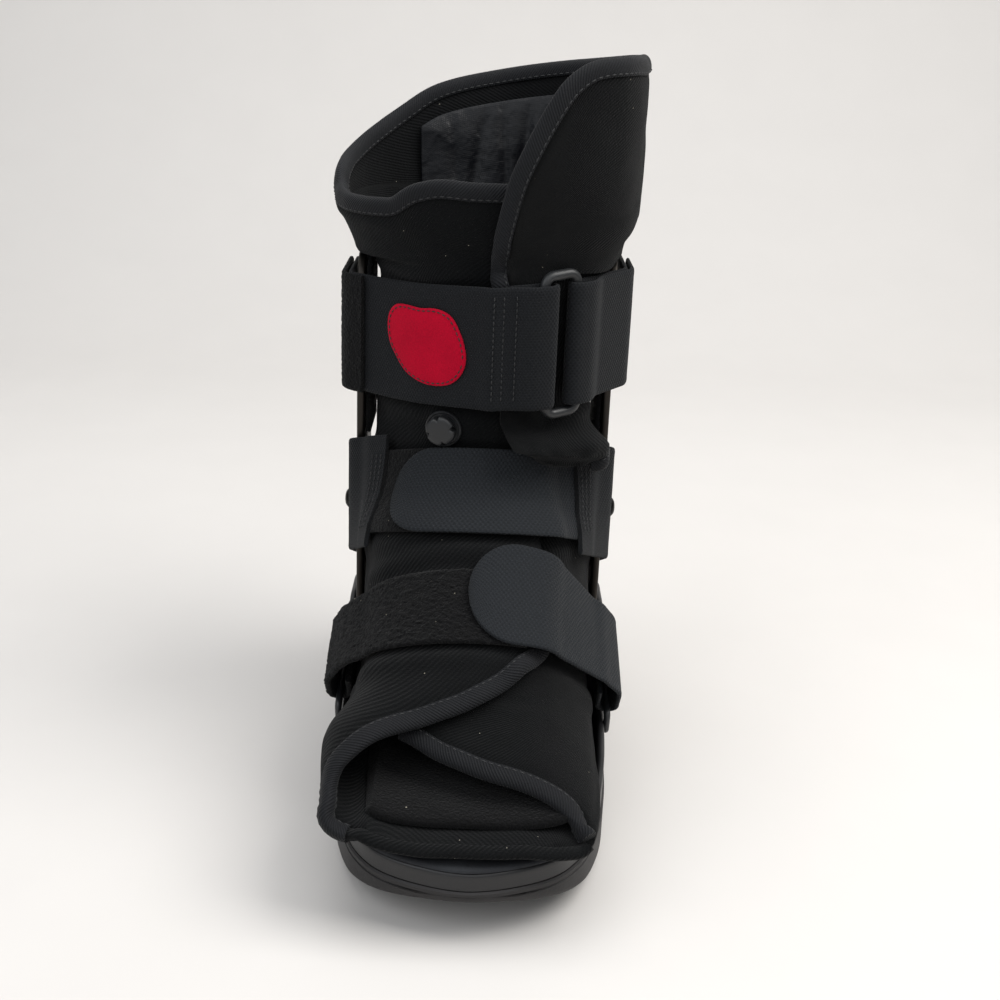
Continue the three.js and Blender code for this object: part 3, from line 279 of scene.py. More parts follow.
def smoothed(values, reach, closed=False):
    """A running average over a number of samples to each side, along the first axis."""
    if reach < 1:
        return values
    pad = [(reach, reach)] + [(0, 0)] * (values.ndim - 1)
    wide = np.pad(values, pad, mode="wrap" if closed else "edge")
    weights = np.hanning(2 * reach + 3)[1:-1]
    weights /= weights.sum()
    return sum(w * wide[k:k + len(values)] for k, w in enumerate(weights))


# The liner's outer surface


def section_rows():
    rows = []
    for i, r in enumerate(SECTIONS):
        depth = CALF_DEPTH if i <= 4 else SOLE_LENGTH
        width = CALF_WIDTH if i <= 4 else SOLE_WIDTH
        rows.append({
            "place": i, "fy": r["front_y"] * depth, "fz": LINER_BASE + r["front_z"] * LINER_HEIGHT,
            "by": r["back_y"] * depth, "bz": LINER_BASE + r["back_z"] * LINER_HEIGHT,
            "half": r["half"] * width / 2,
            "shift": r["shift"] * CALF_WIDTH, "front": r["front"], "back": r["back"],
        })
    return rows


SECTION = {
    k: column(section_rows(), "place", k) for k in ("fy", "fz", "by", "bz", "half", "shift", "front", "back")
}
LAST_PLACE = len(SECTIONS) - 1


def skin(place, angle):
    """Points of the surface: place along the sections, and angle in degrees from the front to the right."""
    place, angle = np.broadcast_arrays(np.asarray(place, float), np.asarray(angle, float))
    c = {k: f(place) for k, f in SECTION.items()}
    cos, sin = np.cos(np.radians(angle)), np.sin(np.radians(angle))
    power = np.where(cos > 0, c["front"], c["back"])
    reach = (np.abs(cos) ** power + np.abs(sin) ** power) ** (-1 / power)
    return np.stack([
        c["shift"] + c["half"] * sin * reach,
        (c["fy"] + c["by"]) / 2 + (c["fy"] - c["by"]) / 2 * cos * reach,
        (c["fz"] + c["bz"]) / 2 + (c["fz"] - c["bz"]) / 2 * cos * reach,
    ], -1)


def skin_normal(place, angle):
    place = np.asarray(place, float)
    low = np.maximum(place - 0.05, 0)
    high = np.minimum(place + 0.05, LAST_PLACE)
    along = skin(high, angle) - skin(low, angle)
    around = skin(place, np.asarray(angle) + 0.8) - skin(place, np.asarray(angle) - 0.8)
    return unit(np.cross(along, around))


def layer(place, angle, off):
    """The surface moved outward by a distance."""
    return skin(place, angle) + skin_normal(place, angle) * np.asarray(off)[..., None]


def calf_lift(place, angle):
    over = OVERLAP * ramp(-285, -318, angle)
    draped = (STRAP_STACK + 2.7) * ramp(-290, -307, angle) * ramp(4.62, 4.98, place)
    return over + draped


def foot_lift(place, angle):
    over = OVERLAP * ramp(-72, -38, angle) * ramp(5.68, 6.4, place)
    out = BULGE * ramp(9.2, 10.3, place) * ramp(-20, -70, angle) * ramp(-128, -98, angle)
    return over + out


CALF_TOP = column(CALF_WRAP, "angle", "top")
CALF_BOTTOM = column(CALF_WRAP, "angle", "bottom")
FOOT_TOP = column(FOOT_WRAP, "angle", "top")
FOOT_BOTTOM = column(FOOT_WRAP, "angle", "bottom")


# Meshes


def sizes():
    return bpy.context.scene.boot_sizes


def colours():
    return bpy.context.scene.boot_colours


def piece(name, points, faces, finish, corners=None, crease=45):
    """A mesh object from points in the drawing frame, with its finish and its place on the cut cloth."""
    mesh = bpy.data.meshes.new(name)
    placed = (np.asarray(points, float).reshape(-1, 3) + SHIFT) / 1000
    mesh.from_pydata(placed.tolist(), [], [list(map(int, f)) for f in faces])
    if corners is not None:
        layer_uv = mesh.uv_layers.new(name="cut")
        layer_uv.data.foreach_set("uv", (np.concatenate(corners) / 1000).astype(np.float32).ravel())
    mesh.shade_smooth()
    mesh.set_sharp_from_angle(angle=math.radians(crease))
    mesh.materials.append(finish)
    made = bpy.data.objects.new(name, mesh)
    bpy.context.scene.collection.objects.link(made)
    return made


def tube(name, sections, finish, closed=False, flat=None, crease=45):
    """A closed body through rings of points. flat gives each ring point's (along, across) on the cut cloth,
    with one column more than the ring has. It is worked out from the lengths where it isn't given."""
    sections = np.asarray(sections, float)
    n, m = sections.shape[:2]
    if flat is None:
        steps = np.linalg.norm(np.roll(sections, -1, 0) - sections, axis=-1).mean(1)
        along = np.concatenate([[0], np.cumsum(steps)])[:n + closed]
        sides = np.linalg.norm(np.roll(sections, -1, 1) - sections, axis=-1).mean(0)
        across = np.concatenate([[0], np.cumsum(sides)])
        flat = np.stack(np.meshgrid(along, across, indexing="ij"), -1)
    index = np.arange(n * m).reshape(n, m)
    index = np.concatenate([index, index[:, :1]], 1)
    if closed:
        index = np.vstack([index, index[:1]])
        if len(flat) == n:
            flat = np.concatenate([flat, flat[-1:] + (flat[-1:] - flat[-2:-1])])
    pick = [(slice(None, -1), slice(None, -1)), (slice(1, None), slice(None, -1)),
            (slice(1, None), slice(1, None)), (slice(None, -1), slice(1, None))]
    faces = np.stack([index[s] for s in pick], -1).reshape(-1, 4)
    corners = np.stack([flat[s] for s in pick], 2).reshape(-1, 4, 2)
    faces, corners = list(faces), list(corners)
    if not closed:
        for start, turned in ((0, False), ((n - 1) * m, True)):
            ring = int(start / m)
            for i in range(m // 2 - 1):
                quad = [i, i + 1, m - 2 - i, m - 1 - i]
                uv = np.array([flat[ring, k] for k in quad])
                if turned:
                    quad, uv = quad[::-1], uv[::-1]
                faces.append([start + k for k in quad])
                corners.append(uv)
    made = piece(name, sections, faces, finish, corners, crease)
    face_out(made)
    return made


def face_out(made):
    """Turns every face of a closed body outwards."""
    mesh = made.data
    co = np.empty(len(mesh.vertices) * 3)
    mesh.vertices.foreach_get("co", co)
    co = co.reshape(-1, 3)
    mesh.calc_loop_triangles()
    tri = np.empty(len(mesh.loop_triangles) * 3, int)
    mesh.loop_triangles.foreach_get("vertices", tri)
    a, b, c = (co[tri.reshape(-1, 3)[:, k]] for k in range(3))
    if (a * np.cross(b, c)).sum() < 0:
        mesh.flip_normals()


def dress(made, slot, *nodes, body="boot"):
    """Puts a piece on its CAD body and hides the CAD nodes that it stands for; slot is not used."""
    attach(made, body)
    if nodes:
        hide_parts(*nodes)
    return made


def shell(outer, inner, lip=0.25):
    """Ring sections from an outer and an inner grid, with one more ring point on each edge between them."""
    first = lerp(outer[:, :1], inner[:, :1], 0.5)
    last = lerp(outer[:, -1:], inner[:, -1:], 0.5)
    push_first = unit(outer[:, :1] - outer[:, 1:2]) * lip
    push_last = unit(outer[:, -1:] - outer[:, -2:-1]) * lip
    return np.concatenate([outer, last + push_last, inner[:, ::-1], first + push_first], 1)


def cut_place(across, down):
    """The place on the cut cloth round both faces of a shell, from the lengths along its outer grid."""
    flat = np.stack([across, down], -1)
    return np.concatenate([flat, flat[:, -1:], flat[:, ::-1], flat[:, :1], flat[:, :1]], 1)


def lengths_of(grid, axis):
    """The length along a grid up to each of its points."""
    step = np.linalg.norm(np.diff(grid, axis=axis), axis=-1)
    start = np.zeros_like(np.take(step, [0], axis=axis))
    return np.concatenate([start, np.cumsum(step, axis=axis)], axis=axis)


# Materials


def colour(hexed):
    """An sRGB hex value as linear red, green, blue and alpha."""
    parts = [int(hexed[i:i + 2], 16) / 255 for i in (1, 3, 5)]
    return (*[c / 12.92 if c <= 0.04045 else ((c + 0.055) / 1.055) ** 2.4 for c in parts], 1.0)


def node(tree, kind, inputs=None, **settings):
    """Adds a node with its settings. inputs maps a socket to a value, or to the socket it is linked from."""
    made = tree.nodes.new("ShaderNode" + kind)
    for key, value in settings.items():
        setattr(made, key, value)
    for key, value in (inputs or {}).items():
        if isinstance(value, bpy.types.NodeSocket):
            tree.links.new(value, made.inputs[key])
        else:
            made.inputs[key].default_value = value
    return made


def finish(name, surface):
    """A new material, its node tree and its shader, whose constant values are in surface."""
    made = bpy.data.materials.new(name)
    made.use_nodes = True
    tree = made.node_tree
    shader = tree.nodes["Principled BSDF"]
    for key, value in surface.items():
        shader.inputs[key].default_value = value
    return made, tree, shader


def thread_place(tree, along_mm, across_mm):
    """The place on the cut cloth, counted in threads along and across."""
    uv = node(tree, "UVMap", uv_map="cut")
    counts = (1000 / along_mm, 1000 / across_mm, 1)
    place = node(tree, "VectorMath", {0: uv.outputs[0], 1: counts}, operation="MULTIPLY")
    apart = node(tree, "SeparateXYZ", {0: place.outputs[0]})
    return apart.outputs[0], apart.outputs[1]


def solid_place(tree, grain_mm):
    """The place in the object, counted in grains."""
    place = node(tree, "TexCoord").outputs["Object"]
    return node(tree, "VectorMath", {0: place, 3: 1000 / grain_mm}, operation="SCALE").outputs[0]


def mottle(tree, grain_mm, detail, **more):
    """Noise through the object, with grains of a real size."""
    inputs = {"Vector": solid_place(tree, grain_mm), "Scale": 1.0, "Detail": detail, **more}
    return node(tree, "TexNoise", inputs).outputs[0]


def maths(tree, operation, a, b=0.0):
    return node(tree, "Math", {0: a, 1: b}, operation=operation).outputs[0]


def wave(tree, value):
    """A sine between 0 and 1 that repeats once for each whole step of the value."""
    turn = maths(tree, "SINE", maths(tree, "MULTIPLY", value, math.tau))
    return node(tree, "MapRange", {0: turn, 1: -1.0, 2: 1.0}).outputs[0]


def relief(tree, shader, height, depth_mm, under=None):
    """A bump of a real depth, over another one where it is given."""
    inputs = {"Height": height, "Distance": depth_mm / 1000, "Strength": 1.0}
    if under is not None:
        inputs["Normal"] = under
    bump = node(tree, "Bump", inputs)
    tree.links.new(bump.outputs[0], shader.inputs["Normal"])
    return bump.outputs[0]


def tint(tree, shader, factor, dark, light):
    """Mixes two colours by a factor into the shader's colour."""
    mix = node(tree, "Mix", {0: factor, 6: dark, 7: light}, data_type="RGBA")
    tree.links.new(mix.outputs[2], shader.inputs["Base Color"])
    return mix.outputs[2]


def webbing(name, base, light, rib_mm, thread_mm, depth_mm=0.25):
    """Woven polyester webbing: ribs across the band, each broken by the lengthwise threads."""
    made, tree, shader = finish(name, {
        "Roughness": 0.8, "Specular IOR Level": 0.14, "Sheen Weight": 0.04, "Sheen Roughness": 0.45,
    })
    x, y = thread_place(tree, rib_mm, thread_mm)
    half = maths(tree, "MULTIPLY", maths(tree, "FLOOR", y), 0.5)
    ribs = wave(tree, maths(tree, "ADD", x, half))
    threads = wave(tree, y)
    weave = maths(tree, "MULTIPLY", ribs, maths(tree, "ADD", maths(tree, "MULTIPLY", threads, 0.45), 0.55))
    fuzz = mottle(tree, 0.9, 3.0)
    both = maths(tree, "ADD", weave, maths(tree, "MULTIPLY", fuzz, 0.5))
    relief(tree, shader, both, depth_mm)
    shade = maths(tree, "MULTIPLY", maths(tree, "ADD", weave, fuzz), 0.5)
    tint(tree, shader, shade, colour(base), colour(light))
    return made


def twill(name, base, light, rib_mm):
    """Twill binding tape: fine diagonal ribs, whose crests are painted lighter as a painted highlight."""
    made, tree, shader = finish(name, {
        "Roughness": 0.75, "Specular IOR Level": 0.16, "Sheen Weight": 0.04, "Sheen Roughness": 0.4,
    })
    x, y = thread_place(tree, rib_mm, rib_mm)
    ribs = wave(tree, maths(tree, "ADD", x, maths(tree, "MULTIPLY", y, 0.8)))
    fuzz = mottle(tree, 0.7, 2.0)
    height = maths(tree, "ADD", ribs, maths(tree, "MULTIPLY", fuzz, 0.6))
    relief(tree, shader, height, 0.2)
    # Painted highlight: the rib crests are painted lighter, with a little random tone from the fuzz
    tint(tree, shader, maths(tree, "MULTIPLY", height, 0.6), colour(base), colour(light))
    return made


def pile(name, base, light, tuft_mm, depth_mm, sheen, lint=0.0, rib_mm=0.0):
    """Brushed loop pile: a soft nap of tiny curls that catches light at its edges and holds a little lint."""
    made, tree, shader = finish(name, {
        "Roughness": 0.95, "Specular IOR Level": 0.08, "Sheen Weight": sheen, "Sheen Roughness": 0.6,
    })
    tufts = mottle(tree, tuft_mm, 4.0, Roughness=0.65)
    curls = node(tree, "TexVoronoi", {"Vector": solid_place(tree, tuft_mm * 0.8), "Scale": 1.0}).outputs[0]
    nap = mottle(tree, 14, 3.0)
    height = maths(tree, "ADD", maths(tree, "MULTIPLY", tufts, 1.2), maths(tree, "MULTIPLY", curls, 0.5))
    if rib_mm:
        x, y = thread_place(tree, rib_mm, rib_mm)
        ribs = wave(tree, maths(tree, "SUBTRACT", x, y))
        height = maths(tree, "ADD", height, maths(tree, "MULTIPLY", ribs, 0.7))
    relief(tree, shader, height, depth_mm)
    shade = maths(tree, "ADD", maths(tree, "MULTIPLY", tufts, 0.6), maths(tree, "MULTIPLY", nap, 0.4))
    spread = node(tree, "MapRange", {0: shade, 1: 0.3, 2: 0.7}).outputs[0]
    mixed = tint(tree, shader, spread, colour(base), colour(light))
    if lint:
        # Lint is real specks of 0.4 to 0.8 mm, a few to the square centimetre
        dots = node(tree, "TexVoronoi", {"Vector": solid_place(tree, 7), "Scale": 1.0}).outputs[0]
        speck = maths(tree, "LESS_THAN", dots, lint)
        tint(tree, shader, speck, mixed, colour("#8a8578"))
    return made


def moulded(name, base, light, grain_mm, depth_mm, rough, sheen=0.0, spec=0.5):
    """Injection-moulded plastic or rubber: a fine spark-eroded grain and faint scuffs on a dull surface."""
    made, tree, shader = finish(name, {
        "Roughness": rough, "IOR": 1.5, "Sheen Weight": sheen, "Specular IOR Level": spec,
    })
    grain = mottle(tree, grain_mm, 3.0)
    scuff = mottle(tree, 18, 5.0)
    relief(tree, shader, grain, depth_mm)
    shade = node(tree, "MapRange", {0: scuff, 1: 0.35, 2: 0.7}).outputs[0]
    tint(tree, shader, shade, colour(base), colour(light))
    gloss = node(tree, "MapRange", {0: scuff, 1: 0.3, 2: 0.7, 3: rough - 0.06, 4: rough + 0.08}).outputs[0]
    tree.links.new(gloss, shader.inputs["Roughness"])
    return made


def satin(name, base, light):
    """Coated nylon taffeta over the air cell: a fine cross weave under a soft shine."""
    made, tree, shader = finish(name, {"Roughness": 0.42, "Specular IOR Level": 0.22})
    x, y = thread_place(tree, 0.9, 0.9)
    weave = maths(tree, "MULTIPLY", wave(tree, x), wave(tree, y))
    crinkle = mottle(tree, 6, 3.0)
    under = relief(tree, shader, crinkle, 0.9)
    relief(tree, shader, weave, 0.06, under=under)
    tint(tree, shader, crinkle, colour(base), colour(light))
    return made


def metal(name, base, rough):
    """Brushed or plated metal: fine lines along the bar."""
    made, tree, shader = finish(name, {"Base Color": colour(base), "Metallic": 1.0, "Roughness": rough})
    brush_mm, along_mm = 0.3, 25
    place = node(tree, "TexCoord").outputs["Object"]
    counts = (1000 / brush_mm, 1000 / brush_mm, 1000 / along_mm)
    drawn = node(tree, "VectorMath", {0: place, 1: counts}, operation="MULTIPLY").outputs[0]
    lines = node(tree, "TexNoise", {"Vector": drawn, "Scale": 1.0, "Detail": 2.0}).outputs[0]
    relief(tree, shader, lines, 0.02)
    gloss = node(tree, "MapRange", {0: lines, 3: rough - 0.08, 4: rough + 0.1}).outputs[0]
    tree.links.new(gloss, shader.inputs["Roughness"])
    return made


FINISHES = {}


def make_finishes():
    c = colours()
    FINISHES.update({
        # Thermoplastic rubber, moulded: dull near-black with faint lighter scuffs
        "rubber": moulded("rubber_moulded", c.rubber, "#1e1b1c", 0.8, 0.12, 0.62),
        # Polypropylene shell, moulded: a soft even gleam
        "shell": moulded("polypropylene_moulded", c.shell, "#18181a", 0.6, 0.05, 0.42),
        # EVA foam, cut from sheet: grey, dry and slightly open-celled
        "foam": moulded("eva_foam_cut", c.foam, "#323437", 1.1, 0.25, 0.85, spec=0.2),
        # Nylon, moulded: ring, slots and valve
        "nylon": moulded("nylon_moulded", c.nylon, "#202224", 0.5, 0.04, 0.45),
        # Aluminium, dark anodised: the struts' faces are dull, their edges bright
        "aluminium": metal("aluminium_dark_anodised", c.aluminium, 0.42),
        # Steel, black plated: rivets
        "steel": metal("steel_black_plated", c.steel, 0.36),
        # Nylon loop pile laminated to foam: the liner's face, black with a faint nap
        "liner": pile("nylon_loop_liner_brushed", c.liner, "#0b0c0d", 0.9, 0.3, 0.035, lint=0.03, rib_mm=2.2),
        # Nylon loop pile, taller: the straps' fastening side and the strut covers
        "loop": pile("nylon_loop_pile_brushed", c.loop, "#0a0a0b", 1.3, 0.7, 0.05, lint=0.04),
        # Polyester twill tape: the bindings, a shade lighter than the liner
        "tape": twill("polyester_tape_twill", c.tape, "#1c1d20", 1.3),
        # Polyester webbing: calf strap and ankle base
        "webbing": webbing("polyester_webbing_woven", c.webbing, "#1e2023", 1.4, 1.1),
        # Nylon hook tape's back: ribbed across
        "hook": webbing("nylon_hook_tape_woven", c.hook, "#26292d", 1.9, 1.2, 0.32),
        # Polyester felt, pressed: the badge
        "felt": pile("polyester_felt_pressed", c.felt, "#b80428", 0.7, 0.15, 0.03),
        # Nylon taffeta, coated: the air cell
        "satin": satin("nylon_taffeta_coated", c.satin, "#07090f"),
        # Polyester sewing thread, twisted
        "thread": moulded("polyester_thread_twisted", c.thread, "#1a1b1d", 0.3, 0.05, 0.6, sheen=0.03),
    })


# Sole


def outline(inset, height, count=220):
    """The sole's outline moved inwards, at a height that may depend on the place along the sole."""
    right = [(r["half"] * SOLE_WIDTH / 2, TOE_Y + r["along"] * SOLE_LENGTH) for r in SOLE_OUTLINE]
    left = [(-x, y) for x, y in right[-2:0:-1]]
    at, tangent = closed_curve(right + left, count)
    along = (at[:, 1] - TOE_Y) / SOLE_LENGTH
    inset = inset(along)[:, None] if callable(inset) else inset
    moved = at + np.stack([-tangent[:, 1], tangent[:, 0]], 1) * inset
    moved[:, 1] += 4 * ramp(0.35, 0, along)
    along = (moved[:, 1] - TOE_Y) / SOLE_LENGTH
    z = height(along) if callable(height) else np.full(count, float(height))
    return np.column_stack([moved, z])


ROCKER_RISE = column(ROCKER, "along", "rise")


def underside(along):
    return ROCKER_RISE(np.clip(along, 0, 1)) * SOLE_THICK


def outsole():
    rings = [
        outline(2.6, underside),
        outline(1.2, lambda a: underside(a) + 0.45),
        outline(0.35, lambda a: underside(a) + 1.4),
        outline(0, lambda a: underside(a) + 2.8),
        outline(0, lambda a: lerp(underside(a), SOLE_THICK, 0.6)),
        outline(0, SOLE_THICK - 3.2),
        outline(0.5, SOLE_THICK - 2.9),
        outline(0.5, SOLE_THICK - 2.4),
        outline(0, SOLE_THICK - 2.1),
        outline(0, SOLE_THICK - 0.7),
        outline(0.6, SOLE_THICK),
    ]
    made = tube("tread_sole", np.array(rings), FINISHES["rubber"], crease=38)
    cut_grooves(made)
    return made


def cut_grooves(made):
    """Cuts the tread's cross grooves, all but the middle one."""
    first = TOE_Y + 0.3 * SOLE_LENGTH
    pitch = 0.56 * SOLE_LENGTH / (TREAD_COUNT - 1)
    points, faces = [], []
    for i in range(TREAD_COUNT):
        if i == TREAD_COUNT // 2:
            continue
        y = first + i * pitch
        z = float(underside((y - TOE_Y) / SOLE_LENGTH))
        start = len(points)
        points += [
            (sx * SOLE_WIDTH, y + sy * TREAD_WIDTH / 2, z + sz * TREAD_DEPTH)
            for sx in (-1, 1) for sy in (-1, 1) for sz in (-1, 1)
        ]
        faces += [
            [start + k for k in f]
            for f in ((0, 1, 3, 2), (4, 6, 7, 5), (0, 4, 5, 1), (2, 3, 7, 6), (0, 2, 6, 4), (1, 5, 7, 3))
        ]
    cutter = piece("tread_cutter", points, faces, FINISHES["rubber"])
    cut = made.modifiers.new("grooves", "BOOLEAN")
    cut.operation = "DIFFERENCE"
    cut.solver = "EXACT"
    cut.object = cutter
    apply_modifiers(made)
    bpy.data.objects.remove(cutter)


def apply_modifiers(made):
    """Puts the evaluated mesh in place of the object's own and drops its modifiers."""
    bpy.context.view_layer.update()
    seen = bpy.context.evaluated_depsgraph_get()
    mesh = bpy.data.meshes.new_from_object(made.evaluated_get(seen))
    made.modifiers.clear()
    made.data = mesh


def footplate():
    count = 260
    rim = outline(0.8, 0, count)
    inner = outline(3.8, 0, count)
    along = np.clip((rim[:, 1] - TOE_Y) / SOLE_LENGTH, 0, 1)
    top = PLATE_TOP + column(PLATE_WALL, "along", "height")(along) * (EAR_TOP - PLATE_TOP)
    base = SOLE_THICK + SEAT_GAP

    def lean(ring, out, z):
        near = ramp(STRUT_WIDTH * 0.98, STRUT_WIDTH * 0.66, np.abs(ring[:, 1]))
        rise = ramp(SOLE_THICK, STRUT_FOOT - 1, z) * near
        target = np.sign(ring[:, 0]) * (STRUT_OUTER + SEAT_GAP + out)
        return np.column_stack([lerp(ring[:, 0], target, rise), ring[:, 1], z])

    rows = [lean(rim, 3, lerp(base, top - 1.2, s)) for s in (0, 0.05, 0.15, 0.3, 0.45, 0.6, 0.8, 1)]
    rows += [lean(lerp(rim, inner, 0.12), 2.6, top - 0.4), lean(lerp(rim, inner, 0.35), 2, top)]
    rows += [lean(lerp(rim, inner, 0.65), 1, top), lean(lerp(rim, inner, 0.88), 0.4, top - 0.4)]
    rows += [lean(inner, 0, lerp(base, top - 1.2, s)) for s in (1, 0.8, 0.6, 0.45, 0.3, 0.15, 0.05, 0)]
    return tube("shell_wall", np.array(rows).transpose(1, 0, 2), FINISHES["shell"], closed=True, crease=60)


def sole_pad():
    def spread(more):
        """Wider at the toe, where the pad lies over the wall."""
        return lambda along: more + lerp(1.1, 4.15, ramp(0.12, 0.3, along))

    rings = [outline(4.15, PLATE_TOP + SEAT_GAP), outline(4.15, PLATE_TOP + 2.9)]
    upper = ((0, 2.9), (0, 3.7), (0.4, 4.3), (1.2, 4.6), (2.6, 4.7))
    rings += [outline(spread(more), PLATE_TOP + SEAT_GAP + rise) for more, rise in upper]
    return tube("sole_pad_foam", np.array(rings), FINISHES["foam"])


def plate_base():
    rings = [outline(1.2, SOLE_THICK + SEAT_GAP), outline(1.2, PLATE_TOP)]
    return tube("shell_plate", np.array(rings), FINISHES["shell"])


# Struts


def strut_bar(name, finish_name, inner, outer, bottom, top, margin, way, soft):
    """A flat upright bar with rounded edges and a domed top."""
    upper = top - 12 * np.cos(np.linspace(0, math.pi / 2, 14))
    levels = np.concatenate([np.linspace(bottom, top - 12, 24), upper])
    dome = np.clip((levels - STRUT_TOP + STRUT_WIDTH * 0.3) / (STRUT_WIDTH * 0.3), 0, 1)
    half = STRUT_WIDTH / 2 * np.sqrt(1 - dome**2 * 0.72) - margin
    thick = (outer - inner) / 2
    corner = min(soft, thick)
    turn = np.radians([7, 30, 60, 83])
    rings = []
    for z, h in zip(levels, half):
        ring = []
        for sx, sy in ((1, 1), (-1, 1), (-1, -1), (1, -1)):
            quarter = turn if sx * sy > 0 else turn[::-1]
            for t in quarter:
                x = (inner + outer) / 2 + sx * (thick - corner + corner * math.cos(t))
                ring.append((way * x, sy * (h - corner + corner * math.sin(t)), z))
        rings.append(ring)
    return tube(name, rings, FINISHES[finish_name])


def domed(name, finish_name, centre, axis, radius, height):
    """A rivet head: a low dome with a rounded rim, its flat side on the centre."""
    axis = Vector(axis).normalized()
    turned = np.array(Vector((0, 0, 1)).rotation_difference(axis).to_matrix())
    profile = [(0.3, 0.98), (0.55, 0.9), (0.75, 0.74), (0.9, 0.5), (0.98, 0.3), (1.0, 0.12), (0.97, 0.0)]
    t = np.linspace(0, math.tau, 32, endpoint=False)
    rings = []
    for r, h in profile:
        x, y = np.cos(t) * r * radius, np.sin(t) * r * radius
        rings.append(np.column_stack([x, y, np.full(32, h * height)]))
    rings = np.array(rings) @ turned.T + np.array(centre)
    return tube(name, rings, FINISHES[finish_name], crease=60)


# Wraps


def press(points):
    """How far the wraps stand out beside the straps and give way beneath them."""
    total = np.zeros(points.shape[:-1])
    for r in PRESSED:
        rise = math.radians(r["rise"])
        away = (points[..., 1] - r["y"]) * math.sin(rise) + (points[..., 2] - r["z"]) * math.cos(rise)
        beside = np.abs(away) - r["half"]
        total += 1.3 * np.exp(-(((beside - 4.5) / 4) ** 2)) - 0.6 * ramp(2.5, -2.5, beside)
    return total * ramp(25, 0, points[..., 1])


def wrinkles(points, size_mm, depth_mm, seed):
    """Soft unevenness of the foam and its cloth."""
    flat = points.reshape(-1, 3) / size_mm + seed
    values = [noise.noise(p) for p in flat.tolist()]
    return depth_mm * np.array(values).reshape(points.shape[:-1])


def calf_off(place, angle):
    """The calf wrap's distance from the skin: its lift, the folds on the struts, and its tail's crown."""
    rests = np.abs(np.sin(np.radians(angle))) ** 3
    fold = 8.5 * ramp(2.2, 2.75, place) * ramp(3.04, 2.9, place) * rests
    crown = 5 * ramp(4.72, 5.02, place) * ramp(5.34, 5.2, place) * ramp(-299, -312, angle)
    side = 1.3 * np.abs(np.sin(np.radians(angle))) ** 8 * ramp(4.9, 5.6, place)
    return calf_lift(place, angle) + fold + crown + side


def calf_point(place, angle, off):
    lifted = calf_off(place, angle)
    near = layer(place, angle, lifted)
    soft = press(near) + wrinkles(near, 34, 1.1, 3) + wrinkles(near, 11, 0.35, 8)
    soft += wrinkles(near, 8, 1.6, 5) * ramp(4.72, 4.95, place) * ramp(-300, -308, angle)
    return layer(place, angle, lifted + soft + off)


def taut_foot(place, angle, off):
    """The foot wrap as it would be with its toe end held up."""
    side = 1.3 * np.abs(np.sin(np.radians(angle))) ** 8 * ramp(9, 8.2, place)
    lifted = foot_lift(place, angle) + side
    near = layer(place, angle, lifted)
    soft = press(near) + wrinkles(near, 30, 1.2, 5) + wrinkles(near, 10, 0.35, 2)
    return layer(place, angle, lifted + soft + off)


def droop_columns():
    rows = [{"angle": -384, "dx": 0, "dz": 0}]
    for r in reversed(TOE_DROOP):
        x, _, z = taut_foot(FOOT_BOTTOM(r["angle"]), r["angle"], -LINER / 2)
        rows.append({"angle": r["angle"], "dx": r["x"] - x, "dz": r["z"] - z})
    rows.append({"angle": -204, "dx": 0, "dz": 0})
    return column(rows, "angle", "dx"), column(rows, "angle", "dz")


DROOP = droop_columns()


def foot_point(place, angle, off):
    place, angle = np.broadcast_arrays(np.asarray(place, float), np.asarray(angle, float))
    points = taut_foot(place, angle, off)
    within = ramp(8.4, FOOT_BOTTOM(angle), place) * (angle > -384) * (angle < -204)
    points[..., 0] += DROOP[0](angle) * within
    points[..., 2] += DROOP[1](angle) * within
    return points


def padded_wrap(name, rows, top, bottom, point, columns, levels):
    """A foam wrap: full thickness inside, pressed thin where the bindings hold its edges."""
    angle = np.linspace(rows[0]["angle"], rows[-1]["angle"], columns)[:, None]
    place = lerp(top(angle), bottom(angle), np.linspace(0, 1, levels)[None, :])
    angle = np.broadcast_to(angle, place.shape)
    outer = point(place, angle, 0)
    down = lengths_of(outer, 1)
    across = lengths_of(outer, 0)
    edge = np.minimum(np.minimum(down, down[:, -1:] - down), np.minimum(across, across[-1:] - across))
    pressed = 0.8 * np.exp(-((edge / 3.2) ** 2))
    around = cut_place(across, down)
    both = shell(point(place, angle, -pressed), point(place, angle, pressed - LINER))
    return tube(name, both, FINISHES["liner"], flat=around, crease=70)


def calf_wrap():
    return padded_wrap("calf_wrap_liner", CALF_WRAP, CALF_TOP, CALF_BOTTOM, calf_point, 330, 130)


def foot_wrap():
    return padded_wrap("foot_wrap_liner", FOOT_WRAP, FOOT_TOP, FOOT_BOTTOM, foot_point, 330, 90)


# Bindings


TAPE_SECTION = [
    (-0.4, 2.3), (-0.4, 2.9), (0, 3.1), (1.2, 3.1), (2.6, 2.95), (3.8, 2.65), (4.9, 2.1), (5.7, 1.4),
    (6.2, 0.6), (6.3, 0), (6.2, -0.6), (5.7, -1.4), (4.9, -2.1), (3.8, -2.65), (2.6, -2.95), (1.2, -3.1),
    (0, -3.1), (-0.4, -2.9), (-0.4, -2.3),
]


def edge_run(point, top, bottom, angle, v, inside_angle, inside_v):
    """Edge points in the wrap's mid thickness, a point just inside each, and the outward normals."""
    place = lerp(top(angle), bottom(angle), v)
    inside = lerp(top(inside_angle), bottom(inside_angle), inside_v)
    half = -LINER / 2
    return point(place, angle, half), point(inside, inside_angle, half), skin_normal(place, angle)


